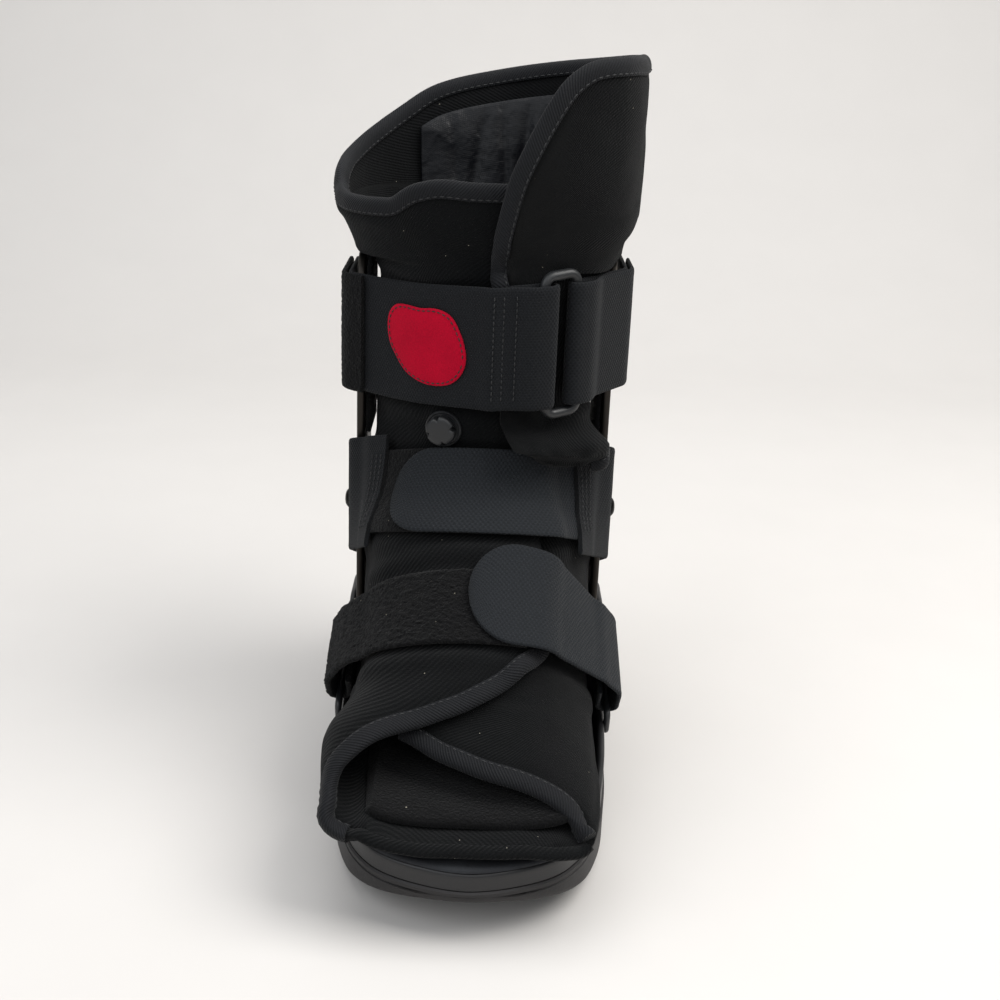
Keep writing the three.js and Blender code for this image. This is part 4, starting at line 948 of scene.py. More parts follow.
def tape_frames(runs):
    """Joins edge runs into one line of frames, turning the tape round the corners between them."""
    fan = 9
    edges, outs, normals = [], [], []
    made = []
    for edge, within, normal in runs:
        t = unit(np.gradient(edge, axis=0))
        out = edge - within
        out = unit(out - (out * t).sum(1, keepdims=True) * t)
        made.append((edge, out, normal))
    for k, (edge, out, normal) in enumerate(made):
        edges.append(edge)
        outs.append(out)
        normals.append(normal)
        if k < len(made) - 1:
            share = np.linspace(0, 1, fan + 2)[1:-1, None]
            edges.append(np.repeat(edge[-1:], fan, 0))
            outs.append(unit(lerp(out[-1], made[k + 1][1][0], share)))
            normals.append(np.repeat(normal[-1:], fan, 0))
    edge, out, normal = (np.concatenate(x) for x in (edges, outs, normals))
    out = smoothed(out, 3)
    line = edge + out * 4
    keep = [0]
    for i in range(1, len(line)):
        if np.linalg.norm(line[i] - line[keep[-1]]) > 0.9:
            keep.append(i)
    edge, out, normal, line = (x[keep] for x in (edge, out, normal, line))
    t = unit(np.gradient(smoothed(line, 2), axis=0))
    normal = smoothed(normal, 2)
    normal = unit(normal - (normal * t).sum(1, keepdims=True) * t)
    out = np.cross(t, normal) * np.sign((np.cross(t, normal) * out).sum(1, keepdims=True))
    centre = smoothed(line, 2) - out * 4
    return centre, unit(out), normal


def tape(name, frames, finish_name="tape", size=1.0):
    """A folded tape, or a roll of bare cloth, along an edge."""
    centre, out, normal = frames
    section = np.array(TAPE_SECTION) * size
    rings = centre[:, None] + out[:, None] * section[None, :, :1] + normal[:, None] * section[None, :, 1:]
    return tube(name, rings, FINISHES[finish_name], crease=50)


def calf_frames():
    first, last = CALF_WRAP[0]["angle"], CALF_WRAP[-1]["angle"]
    rim = np.linspace(first, last, 420)
    flap = np.linspace(0, 0.63, 130)
    return tape_frames([
        edge_run(calf_point, CALF_TOP, CALF_BOTTOM, rim, 0 * rim, rim, 0 * rim + 0.04),
        edge_run(calf_point, CALF_TOP, CALF_BOTTOM, 0 * flap + last, flap, 0 * flap + last + 3, flap),
    ])


def tail_frames():
    """The tape round the right end of the flap's tail."""
    tail = np.linspace(-296, -314, 60)
    edge, inside = 0 * tail + 1, 0 * tail + 0.96
    return tape_frames([edge_run(calf_point, CALF_TOP, CALF_BOTTOM, tail, edge, tail, inside)])


def mouth_run(start, end, count):
    angle = np.linspace(start, end, count)
    return edge_run(foot_point, FOOT_TOP, FOOT_BOTTOM, angle, 0 * angle + 1, angle, 0 * angle + 0.96)


def foot_frames():
    """The tape of the front flap, which ends low at the left corner of the toe."""
    first, flap = FOOT_WRAP[0]["angle"], np.linspace(0.42, 1, 80)
    return tape_frames([
        edge_run(foot_point, FOOT_TOP, FOOT_BOTTOM, 0 * flap + first, flap, 0 * flap + first - 3, flap),
        mouth_run(first, -119, 160),
    ])


def toe_frames():
    """The tape of the flap below, from the right corner of the toe up under the front flap."""
    return tape_frames([mouth_run(-250, FOOT_WRAP[-1]["angle"], 140)])


def roll_frames():
    """The wrap's bare lower edge between the two tapes."""
    return tape_frames([mouth_run(-112, -246, 130)])


# Stitches


def stitches(name, line, normal, pitch=3.0, length=2.1):
    """Short thread ends along lines of points, each a tiny pointed bar that lies on the cloth."""
    rings, faces, base = [], [], 0
    sides, radius = 6, 0.32
    for points, up in zip(line, normal):
        total = np.concatenate([[0], np.cumsum(np.linalg.norm(np.diff(points, axis=0), axis=1))])
        for s in np.arange(pitch / 2, total[-1] - pitch / 2, pitch):
            ends = [np.array([np.interp(s + d, total, points[:, k]) for k in range(3)]) for d in
                    (-length / 2, 0, length / 2)]
            n = unit(np.array([np.interp(s, total, up[:, k]) for k in range(3)]))
            along = unit(ends[2] - ends[0])
            side = np.cross(along, n)
            for where, size in ((ends[0], 0.35), (ends[1], 1.0), (ends[2], 0.35)):
                t = np.linspace(0, math.tau, sides, endpoint=False)
                across, above = np.outer(np.cos(t), side), np.outer(np.sin(t), n)
                rings.append(where + across * radius * size + above * radius * size)
            for ring in range(2):
                for k in range(sides):
                    m = (k + 1) % sides
                    a = base + ring * sides
                    faces.append((a + k, a + m, a + sides + m, a + sides + k))
            faces.append(tuple(base + k for k in reversed(range(sides))))
            faces.append(tuple(base + 2 * sides + k for k in range(sides)))
            base += 3 * sides
    return piece(name, np.concatenate(rings), faces, FINISHES["thread"], crease=80)


# Straps


class Band:
    """A band pulled taut round the wrapped pieces. at(length, across, off) gives points on it."""

    def __init__(self, planes, lift, corner, tail, straight=False):
        hulls = [self.hull(p, lift, corner) for p in planes]
        if straight:
            shared = [q for h in hulls for q in h]
            hulls = [self.convex(shared) for _ in planes]
        else:
            hulls = [self.convex(h) for h in hulls]
        self.rows = []
        for p, h in zip(planes, hulls):
            chain = np.array([(-corner[0], -tail), *h, (corner[0], -tail)], float)
            self.rows.append((p, *self.rounded(chain)))
        self.total = float(np.mean([r[2] for r in self.rows]))

    @staticmethod
    def axes(p):
        rise = math.radians(p["rise"])
        return (-math.cos(rise), math.sin(rise)), (math.sin(rise), math.cos(rise))

    def hull(self, p, lift, corner):
        forward, above = self.axes(p)
        angle = np.arange(-92, 93, 4.0)
        low, high = np.full(angle.shape, 0.4), np.full(angle.shape, 10.6)
        for _ in range(26):
            place = (low + high) / 2
            q = layer(place, angle, lift(place, angle))
            under = (q[:, 1] - p["y"]) * above[0] + (q[:, 2] - p["z"]) * above[1] > 0
            low, high = np.where(under, place, low), np.where(under, high, place)
        t = (q[:, 1] - p["y"]) * forward[0] + (q[:, 2] - p["z"]) * forward[1]
        kept = [(x, d) for x, d in zip(q[:, 0], t) if abs(x) < corner[0] and d > 0]
        return [(-corner[0], corner[1]), (corner[0], corner[1]), *kept]

    @staticmethod
    def convex(points):
        hull = []
        for p in sorted(points):
            while len(hull) > 1:
                a, b = hull[-2:]
                if (b[0] - a[0]) * (p[1] - a[1]) - (b[1] - a[1]) * (p[0] - a[0]) < 0:
                    break
                hull.pop()
            hull.append(p)
        return hull

    @staticmethod
    def rounded(chain):
        """The chain in steps of half a millimetre with its corners eased."""
        length = np.concatenate([[0], np.cumsum(np.linalg.norm(np.diff(chain, axis=0), axis=1))])
        count = int(length[-1] / 0.5)
        at = np.linspace(0, length[-1], count)
        fine = np.stack([np.interp(at, length, chain[:, k]) for k in range(2)], 1)
        soft = smoothed(fine, 7)
        soft[0], soft[-1] = fine[0], fine[-1]
        return soft, float(length[-1])

    def row(self, r, share):
        p, fine, _ = self.rows[r]
        forward, _ = self.axes(p)
        grid = np.linspace(0, 1, len(fine))
        q = np.stack([np.interp(share, grid, fine[:, k]) for k in range(2)], -1)
        slope = unit(smoothed(np.gradient(fine, axis=0), 5))
        t = np.stack([np.interp(share, grid, slope[:, k]) for k in range(2)], -1)
        raised = p.get("lift", 0) * ramp(-45, 45, q[..., 0])
        point = np.stack([
            q[..., 0], p["y"] + q[..., 1] * forward[0], p["z"] + q[..., 1] * forward[1] + raised,
        ], -1)
        normal = np.stack([-t[..., 1], t[..., 0] * forward[0], t[..., 0] * forward[1]], -1)
        along = np.stack([t[..., 0], t[..., 1] * forward[0], t[..., 1] * forward[1]], -1)
        return point, normal, along

    def at(self, length, across, off):
        """length, across and off are arrays of one shape; across is 0 to 1 over the band's width."""
        length, across, off = np.broadcast_arrays(*(np.asarray(x, float) for x in (length, across, off)))
        share = np.clip(length / self.total + 0.5, 0, 1)
        past = length - (share - 0.5) * self.total
        k = np.clip(across, 0, 1) * (len(self.rows) - 1)
        i = np.minimum(np.floor(k).astype(int), len(self.rows) - 2)
        point, normal, along = (np.zeros(length.shape + (3,)) for _ in range(3))
        for r in range(len(self.rows)):
            weight = np.where(i == r, 1 - (k - i), 0) + np.where(i + 1 == r, k - i, 0)
            if not weight.any():
                continue
            for total, part in zip((point, normal, along), self.row(r, share)):
                total += part * weight[..., None]
        return point + unit(normal) * off[..., None] + unit(along) * past[..., None]

    def normal_at(self, length, across):
        return unit(self.at(length, across, 1.0) - self.at(length, across, 0.0))

    def length_at_x(self, x):
        share = np.linspace(0, 1, 4000)
        point, _, _ = self.row(len(self.rows) // 2, share)
        return float((np.interp(x, point[:, 0], share) - 0.5) * self.total)


def run(start, end, off, step=1.5):
    """Path points between two lengths of a band."""
    length = np.linspace(start, end, max(2, int(abs(end - start) / step) + 1))
    off = off(length) if callable(off) else np.full(length.shape, float(off))
    return np.stack([length, np.broadcast_to(off, length.shape)], 1)


def half_turn(length, off, radius, way):
    """Path points round a bar, from one side of it to the other."""
    steps = 10
    t = math.pi * np.arange(1, steps) / steps
    return np.stack([length + way * radius * np.sin(t), off - radius * np.cos(t)], 1)


# Across a ribbon: place over the width, and share of its thickness there, so that its selvedges are thin
SELVEDGE = table(
    "across thick",
    (0, 0.5), (0.012, 0.85), (0.035, 1), (0.08, 0.93), (0.2, 0.96), (0.35, 1), (0.5, 1), (0.65, 1),
    (0.8, 0.96),
    (0.92, 0.93), (0.965, 1), (0.988, 0.85), (1, 0.5),
)


def resampled(path, step):
    """The same path with points a step apart."""
    length = np.concatenate([[0], np.cumsum(np.linalg.norm(np.diff(path, axis=0), axis=1))])
    at = np.linspace(0, length[-1], int(length[-1] / step) + 1)
    return np.stack([np.interp(at, length, path[:, k]) for k in range(2)], 1)


def ribbon(name, band, path, finish_name, width=None, thick=WEB, pile_mm=0.0, wide_mm=0.0):
    """A woven band along a path of [length, distance off the wrapped pieces]. pile_mm is how far its loops
    stand out, which needs the band's width for a fine enough mesh."""
    across = np.array([r["across"] for r in SELVEDGE])
    share = np.array([r["thick"] for r in SELVEDGE])
    if pile_mm:
        path = resampled(path, 0.8)
        fine = np.linspace(0, 1, int(wide_mm / 0.8))
        across, share = fine, np.interp(fine, across, share)
    tangent = unit(np.gradient(path, axis=0))
    normal = np.stack([-tangent[:, 1], tangent[:, 0]], 1)
    wide = np.ones(len(path)) if width is None else width
    v = 0.5 + (across[None, :] - 0.5) * wide[:, None]
    rng = np.random.default_rng(7)
    faces = []
    for side in (1, -1):
        loops = pile_mm * rng.random((len(path), len(across))) if side > 0 else 0
        move = side * (0.5 * thick * share[None, :] + loops)
        faces.append(band.at(path[:, :1] + normal[:, :1] * move, v, path[:, 1:] + normal[:, 1:] * move))
    cut_of(band.at(path[:, :1], v, path[:, 1:]))
    return tube(name, shell(faces[0], faces[1], 0.2), FINISHES[finish_name], crease=60)


def cut_of(middle):
    """The width, length and area, in metres, of a strap's middle surface laid flat."""
    long, wide = lengths_of(middle, 0), lengths_of(middle, 1)
    steps, spans = np.diff(long, axis=0).mean(1), wide[:, -1]
    area = float((steps * (spans[1:] + spans[:-1]) / 2).sum()) / 1e6
    return float(spans.max()) / 1000, float(long[-1].max()) / 1000, area


def rounded_end(path, radius, floor=0.3):
    """Width along a path whose first end is round."""
    length = np.abs(path[:, 0] - path[0, 0])
    s = np.minimum(length, radius) / radius
    return np.maximum(np.sqrt(1 - (1 - s) ** 2 * (1 - floor * floor)), floor)


def planes_for(width, z, rise, lean=1.0):
    """The planes across a band at the struts, from its upper edge to its lower one."""
    return [
        {"y": 0, "z": z + (0.5 - i / (PLANES - 1)) * width * lean, "rise": rise} for i in range(PLANES)
    ]


FLAP_ANGLE = CALF_WRAP[-1]["angle"] + 360 - 9


def calf_envelope(place, angle):
    lifted = calf_lift(np.minimum(place, 4.7), angle - 360) + STRADDLE
    return np.where(angle > FLAP_ANGLE, lifted, 0)


def foot_envelope(place, angle):
    lifted = foot_lift(np.maximum(place, 5.68), angle) + STRADDLE
    return np.where(angle < FOOT_WRAP[0]["angle"] + 8, lifted, 0)


PLANES = 9
CORNER = (CORNER_X, STRUT_WIDTH / 2 + 0.8)
TAIL = STRUT_WIDTH / 2 - 2


def ankle_band(width):
    planes = planes_for(width, ANKLE_STRAP_Z, ANKLE_RISE, STRAP_LEAN)
    return Band(planes, lambda p, a: foot_envelope(p, a) + STRADDLE * 1.6, CORNER, TAIL)


def foot_band(width, rows):
    numbered = [{"i": i, **r} for i, r in enumerate(rows)]
    slot, rise, high = (column(numbered, "i", k) for k in ("slot", "rise", "high"))
    planes = [
        {"y": SLOT_Y - float(slot(i)) * width, "z": SLOT_Z + float(high(i)), "rise": float(rise(i))}
        for i in np.linspace(0, 3, PLANES)
    ]
    return Band(planes, foot_envelope, (STRUT_SPACING / 2 - 1.2, 27), 0)


def bar_frame(name, centre, side, up, half_wide, half_tall, wire, corner):
    """A closed frame of round bar in the plane of two directions."""
    out = np.cross(side, up)
    rings = []
    for k, (sx, sy) in enumerate(((1, 1), (-1, 1), (-1, -1), (1, -1))):
        for t in math.pi / 2 * (k + np.linspace(0, 1, 9)):
            radial = side * math.cos(t) + up * math.sin(t)
            middle = (
                centre + side * (sx * (half_wide - corner) + corner * math.cos(t))
                + up * (sy * (half_tall - corner) + corner * math.sin(t))
            )
            u = np.linspace(0, math.tau, 16, endpoint=False)
            ring = np.outer(np.cos(u), radial) * wire / 2 + np.outer(np.sin(u), out) * wire / 2
            rings.append(middle + ring)
    rings = np.array(rings)
    extra = []
    for i in range(len(rings)):
        extra.append(rings[i])
        if i % 9 == 8:
            after = rings[(i + 1) % len(rings)]
            extra += [lerp(rings[i], after, s) for s in np.linspace(0, 1, 14)[1:-1]]
    return tube(name, np.array(extra), FINISHES["nylon"], closed=True)


BANDS = {}


def bands():
    if not BANDS:
        level = [{**p, "lift": 5.5} for p in planes_for(CALF_STRAP, CALF_STRAP_Z, 0)]
        BANDS["calf"] = Band(level, calf_envelope, CORNER, TAIL, straight=True)
        BANDS["base"] = ankle_band(ANKLE_BASE)
        BANDS["tab"] = ankle_band(ANKLE_STRAP)
        BANDS["foot"] = foot_band(FOOT_STRAP, FOOT_LOOP_ROWS)
        BANDS["foot_tab"] = foot_band(FOOT_TAB, FOOT_TAB_ROWS)
    return BANDS


RING_WIRE = 4.2
LOOP_RADIUS = RING_WIRE / 2 + SEAT_GAP + WEB / 2
RING_OFF = LAYER_1 + LOOP_RADIUS
FAR_OFF = LAYER_1 + 2 * LOOP_RADIUS
SLOT_WIRE = 2.8
SLOT_RADIUS = SLOT_WIRE / 2 * 1.95 + SEAT_GAP + WEB / 2


def ring_bars():
    middle = bands()["calf"].length_at_x(28)
    return middle - (RING_WINDOW + RING_WIRE) / 2, middle + (RING_WINDOW + RING_WIRE) / 2


def calf_strap():
    band = bands()["calf"]
    left, right = ring_bars()
    half, fold = band.total / 2, 16

    def over_left(s):
        near = lerp(LAYER_1, LAYER_2, ramp(left - fold - 9, left - fold - 2, s))
        return lerp(near, FAR_OFF, ramp(left - 15, left - 3, s))

    path = np.vstack([
        run(-half, left, over_left),
        half_turn(left, RING_OFF, LOOP_RADIUS, 1)[::-1],
        run(left, left - fold, LAYER_1),
    ])
    first = ribbon("calf_strap_patch_side", band, path, "webbing")
    path = np.vstack([
        run(half, right, LAYER_1),
        half_turn(right, RING_OFF, LOOP_RADIUS, -1),
        run(right, half - 12, lambda s: lerp(FAR_OFF, LAYER_2, ramp(right + 3, right + 14, s))),
    ])
    second = ribbon("calf_strap_ring_side", band, path, "webbing")
    path = run(-half, -half + TAIL + CORNER[1] + 9, LAYER_2)
    sleeve = ribbon("strut_sleeve", band, path, "loop", pile_mm=0.4, wide_mm=CALF_STRAP)
    return first, second, sleeve


def calf_ring():
    band = bands()["calf"]
    left, right = (band.at(s, 0.5, RING_OFF) for s in ring_bars())
    centre = (left + right) / 2
    side = unit(right - left)
    tilt = math.radians(3)
    up = np.array([0, 0, 1.0]) * math.cos(tilt) - side * math.sin(tilt)
    side = side * math.cos(tilt) + np.array([0, 0, 1.0]) * math.sin(tilt)
    half = float(np.linalg.norm(right - left)) / 2
    return bar_frame("strap_ring", centre, side, up, half, (RING_TALL - RING_WIRE) / 2, RING_WIRE, 4)


def badge():
    """A felt oval sewn on the strap, a little domed and pressed thin at its stitched border."""
    band = bands()["calf"]
    middle = band.length_at_x(BADGE_X)
    rows = BADGE_OUTLINE + [{"turn": BADGE_OUTLINE[0]["turn"] + 360, "reach": BADGE_OUTLINE[0]["reach"]}]
    turn = np.linspace(rows[0]["turn"], rows[0]["turn"] + 360, 120, endpoint=False)
    reach = smoothed(column(rows, "turn", "reach")(turn), 4, closed=True)
    base = LAYER_1 + WEB / 2 + 0.05
    rings = []
    for share, rise in (
        (0.02, 1.5), (0.3, 1.5), (0.6, 1.48), (0.82, 1.4), (0.9, 1.12), (0.95, 1.05), (0.985, 1.0), (1, 0.6),
        (0.99, 0.0), (0.5, 0.0), (0.02, 0.0),
    ):
        length = middle + share * 1.07 * reach * np.cos(np.radians(turn))
        across = 0.5 - share * 0.97 * reach * np.sin(np.radians(turn)) / CALF_STRAP
        rings.append(band.at(length, across, base + rise))
    made = tube("badge_felt", np.array(rings), FINISHES["felt"], crease=70)
    length = middle + 0.995 * reach * np.cos(np.radians(turn))
    across = 0.5 - 0.902 * reach * np.sin(np.radians(turn)) / CALF_STRAP
    line = band.at(length, across, base + 1.15)
    line = np.vstack([line, line[:1]])
    normal = band.normal_at(length, across)
    return made, (line, np.vstack([normal, normal[:1]]))


def ankle_strap():
    band, base = bands()["tab"], bands()["base"]
    join = band.length_at_x(-43)
    path = run(join - 8, band.length_at_x(22), LAYER_1)
    loop = ribbon("ankle_strap_loop", band, path, "loop", pile_mm=0.6, wide_mm=ANKLE_STRAP)
    start, dip, end = band.length_at_x(-33), band.length_at_x(24), -join + 8
    path = np.vstack([
        run(start, start + 18, LAYER_2, 0.4),
        run(start + 18, end, lambda s: lerp(LAYER_2, LAYER_1, ramp(dip, dip + 12, s)))[1:],
    ])
    tab = ribbon("ankle_strap_tab", band, path, "hook", width=rounded_end(path, 17, 0.06))
    sides = []
    inner = band.length_at_x(-39.5)
    for way, name in ((-1, "left"), (1, "right")):
        stop, begin = way * -inner, way * base.total / 2

        def over_loop(s, way=way, near=way * stop):
            return lerp(LAYER_1, LAYER_2 - 0.6, ramp(near + 20, near + 10, way * s))

        path = run(begin, stop, over_loop)
        sides.append(ribbon("ankle_base_webbing_" + name, base, path, "webbing"))
    return loop, tab, sides


def foot_strap():
    band, wide = bands()["foot"], bands()["foot_tab"]
    bar = -band.total / 2
    far = LAYER_1 + 2 * SLOT_RADIUS

    def over_loop(s):
        near = lerp(LAYER_2, LAYER_1, ramp(bar + 34, bar + 46, s))
        return lerp(far, near, ramp(bar + 12, bar + 32, s))

    path = np.vstack([
        run(bar + 16, bar, LAYER_1),
        half_turn(bar, LAYER_1 + SLOT_RADIUS, SLOT_RADIUS, -1),
        run(bar, band.length_at_x(20), over_loop),
    ])
    loop = ribbon("foot_strap_loop", band, path, "loop", thick=2.2, pile_mm=0.9, wide_mm=FOOT_STRAP)
    bar, start, dip = wide.total / 2, wide.length_at_x(-3), wide.length_at_x(24)

    def over_tab(s):
        under = lerp(LAYER_2, LAYER_1, ramp(dip, dip + 12, s))
        return lerp(under, far, ramp(bar - 32, bar - 12, s))

    path = np.vstack([
        run(start, start + 20, over_tab, 0.4),
        run(start + 20, bar, over_tab)[1:],
        half_turn(bar, LAYER_1 + SLOT_RADIUS, SLOT_RADIUS, 1)[::-1],
        run(bar, bar - 16, LAYER_1),
    ])
    width = rounded_end(path, 19, 0.06)
    width[len(width) // 2:] = 1
    tab = ribbon("foot_strap_tab", wide, path, "hook", width=width)
    return loop, tab


def foot_slot(way, name):
    band = bands()["foot"]
    bar = band.at(way * band.total / 2, 0.5, LAYER_1 + SLOT_RADIUS)
    side = np.array([0, -math.sin(SLOT_SLOPE), math.cos(SLOT_SLOPE)])
    up = np.array([0, math.cos(SLOT_SLOPE), math.sin(SLOT_SLOPE)])
    return bar_frame(name, bar - side * 5, side, up, 5, FOOT_TAB / 2 + 4.5, SLOT_WIRE, 2.5)


# Valve


VALVE_PLACE, VALVE_ANGLE = 4.8574, -19


def turned_body(name, profile, centre, axis, edge=None):
    """A turned body from a profile of (radius, height). edge gives the radius's share at each direction."""
    axis = Vector(axis).normalized()
    turn = np.array(Vector((0, 0, 1)).rotation_difference(axis).to_matrix())
    segments = 96
    t = np.linspace(0, math.tau, segments, endpoint=False)
    rings = []
    for r, h in profile:
        share = np.ones(segments) if edge is None or r < 3.5 else edge(t)
        rings.append(np.column_stack([np.cos(t) * r * share, np.sin(t) * r * share, np.full(segments, h)]))
    return tube(name, np.array(rings) @ turn.T + centre, FINISHES["nylon"], crease=40)


def valve():
    axis = skin_normal(VALVE_PLACE, VALVE_ANGLE)
    base = layer(VALVE_PLACE, VALVE_ANGLE, np.array(LAYER_GAP))
    collar = turned_body(
        "valve_collar_ring",
        [(0.1, 2.0), (6.6, 2.0), (6.9, 2.3), (7.4, 2.35), (7.8, 1.9), (7.8, 0.2), (7.4, 0), (0.1, 0)],
        base, axis,
    )

    def notched(t):
        """Four finger notches."""
        return 1 - 0.2 * np.exp(-(((np.mod(t + math.pi / 4, math.pi / 2) - math.pi / 4) / 0.14) ** 4))

    seat = base + axis * (2.4 + SEAT_GAP)
    knob = turned_body(
        "valve_knob_cap",
        [(0.1, 4.0), (3.2, 4.0), (4.6, 3.95), (5.5, 3.8), (6.05, 3.4), (6.3, 2.8), (6.3, 0.5), (6.1, 0),
         (0.1, 0)],
        seat, axis, edge=notched,
    )
    return collar, knob


# Linings


def air_cell():
    """The satin cell behind the calf, which reaches up to the rim, with a few upright folds."""
    columns, levels = 200, 80
    angle = np.linspace(-150, -242, columns)[:, None]
    v = np.linspace(0, 1, levels)[None, :]
    place = lerp(CALF_TOP(angle) + 0.22, 4.4, v)
    angle = np.broadcast_to(angle, place.shape)
    edge = np.minimum(np.minimum(v, 1 - v) * 100, np.minimum(angle + 242, -150 - angle) * 0.9)
    puff = 1 - np.exp(-np.maximum(edge, 0) / 6)
    folds = np.zeros(place.shape)
    for at, lean, wide, deep in (
        (-196, 3, 2.6, 1.6), (-187, -2, 2.2, 1.3), (-176, 4, 2.8, 1.7), (-165, -3, 2.4, 1.1),
        (-206, 1, 3, 1.2),
        (-218, -2, 3, 0.9),
    ):
        folds -= deep * np.exp(-(((angle - at - lean * (place - 1.5)) / wide) ** 2))
    outer = layer(place, angle, -LINER - 1.4 + 0 * place)
    puffed = layer(place, angle, -LINER - 2)
    soft = wrinkles(puffed, 16, 0.9, 4)
    inner = layer(place, angle, -LINER - 2 - (4 + folds + soft) * puff)
    around = cut_place(lengths_of(outer, 0), lengths_of(outer, 1))
    return tube("air_cell_lining", shell(outer, inner), FINISHES["satin"], flat=around, crease=80)


def insole():
    """A loop-faced foam insole that fills the floor and ends in a soft roll at the toe."""
    columns, levels = 90, 110
    angle = np.linspace(-122, -238, columns)[:, None]
    place = lerp(8, 10.9, np.linspace(0, 1, levels)[None, :]) + 0 * angle
    angle = np.broadcast_to(angle, place.shape)
    edge = np.minimum(np.minimum(place - 8, 10.9 - place) * 30, np.minimum(angle + 238, -122 - angle) * 0.8)
    full = 1 - 0.6 * np.exp(-np.maximum(edge, 0) / 2.5)
    base = layer(place, angle, -LINER - 1)
    soft = wrinkles(base, 18, 0.6, 6)
    inner = layer(place, angle, -LINER - 1.4 - (5 + soft) * full)
    return tube("insole_pad", shell(base, inner), FINISHES["loop"], crease=70)


# Settings


class BootSizes(bpy.types.PropertyGroup):
    """Sizes that a user would change."""

    stitch_pitch: FloatProperty(
        name="Stitch pitch", description="From one stitch to the next", default=0.003, unit="LENGTH"
    )
    camera_distance: FloatProperty(
        name="Camera distance", description="From the camera to the point it looks at", default=0.645,
        unit="LENGTH",
    )
    camera_pitch: FloatProperty(
        name="Camera pitch", description="How far the camera looks down", default=math.radians(20),
        subtype="ANGLE",
    )
    camera_roll: FloatProperty(
        name="Camera roll", description="How far the boot leans to the right", default=math.radians(2),
        subtype="ANGLE",
    )
    lens: FloatProperty(
        name="Lens", description="Focal length on a 36 mm sensor", default=50.4, unit="CAMERA",
    )


class BootColours(bpy.types.PropertyGroup):
    """Colours of the finishes, as sRGB hex values."""

    rubber: StringProperty(name="Rubber", description="Outsole", default="#121011")
    shell: StringProperty(name="Shell", description="Footplate", default="#0f0f11")
    foam: StringProperty(name="Foam", description="Sole pad", default="#26272a")
    nylon: StringProperty(name="Nylon", description="Ring, slots and valve", default="#151618")
    aluminium: StringProperty(name="Aluminium", description="Struts", default="#35322f")
    steel: StringProperty(name="Steel", description="Rivets", default="#1c1b1a")
    liner: StringProperty(name="Liner", description="Wraps", default="#070809")
    loop: StringProperty(name="Loop", description="Loop pile", default="#050506")
    tape: StringProperty(name="Tape", description="Bindings", default="#0d0e10")
    webbing: StringProperty(name="Webbing", description="Calf strap and ankle base", default="#0e0f11")
    hook: StringProperty(name="Hook tape", description="Ankle and foot tabs", default="#121416")
    felt: StringProperty(name="Felt", description="Badge", default="#9c0122")
    satin: StringProperty(name="Satin", description="Air cell", default="#020306")
    thread: StringProperty(name="Thread", description="Sewing thread", default="#101113")


class StageColours(bpy.types.PropertyGroup):
    """The colour of the floor."""

    floor: FloatVectorProperty(
        name="Floor", description="Colour of the floor and the backdrop", default=(0.62, 0.6, 0.58),
        subtype="COLOR", min=0, max=1,
    )


# Operators


class BOOT_OT_finishes(bpy.types.Operator):
    """Make the materials"""

    bl_idname = "boot.finishes"
    bl_label = "Finishes"

    def execute(self, context):
        make_finishes()
        return {"FINISHED"}


class BOOT_OT_sole(bpy.types.Operator):
    """Build the tread, the shell's plate and wall, and the foam pad"""

    bl_idname = "boot.sole"
    bl_label = "Sole"

    def execute(self, context):
        dress(outsole(), "rubber", "outsole")
        dress(footplate(), "shell_plastic", "footplate")
        dress(plate_base(), "shell_plastic")
        dress(sole_pad(), "foam", "sole_pad")
        return {"FINISHED"}


class BOOT_OT_struts(bpy.types.Operator):
    """Build the two struts with their pads and rivets"""

    bl_idname = "boot.struts"
    bl_label = "Struts"

    def execute(self, context):
        for way, side in ((-1, "left"), (1, "right")):
            bar = strut_bar("strut_bar_" + side, "aluminium", STRUT_SPACING / 2, STRUT_OUTER, STRUT_FOOT,
                            STRUT_TOP, 0, way, 1.2)
            dress(bar, "aluminium", "strut_" + side)
            inner = STRUT_SPACING / 2 - SEAT_GAP - PAD_THICK
            pad = strut_bar("strut_cover_" + side, "loop", inner, inner + PAD_THICK, PAD_BOTTOM,
                            STRUT_TOP - 0.5, 1.5, way, 1)
            dress(pad, "loop_fabric", "strut_pad_" + side)
            low = domed("strut_rivet_head_" + side, "steel", (way * (STRUT_OUTER + 0.7 + 3), 0, EAR_TOP - 13),
                        (way, 0, 0), RIVET_RADIUS, 2)
            dress(low, "steel", "strut_rivet_" + side)
            high = domed("ankle_rivet_head_" + side, "steel",
                         (way * (CORNER_X + LAYER_1 + WEB / 2 + SEAT_GAP), 0, ANKLE_STRAP_Z), (way, 0, 0),
                         RIVET_RADIUS, 2.6)
            dress(high, "steel", "ankle_rivet_" + side)
        return {"FINISHED"}


class BOOT_OT_wraps(bpy.types.Operator):
    """Build the calf wrap and the foot wrap"""

    bl_idname = "boot.wraps"
    bl_label = "Wraps"

    def execute(self, context):
        calf = dress(calf_wrap(), "liner_fabric", "calf_wrap")
        foot = dress(foot_wrap(), "liner_fabric", "foot_wrap")
        return {"FINISHED"}


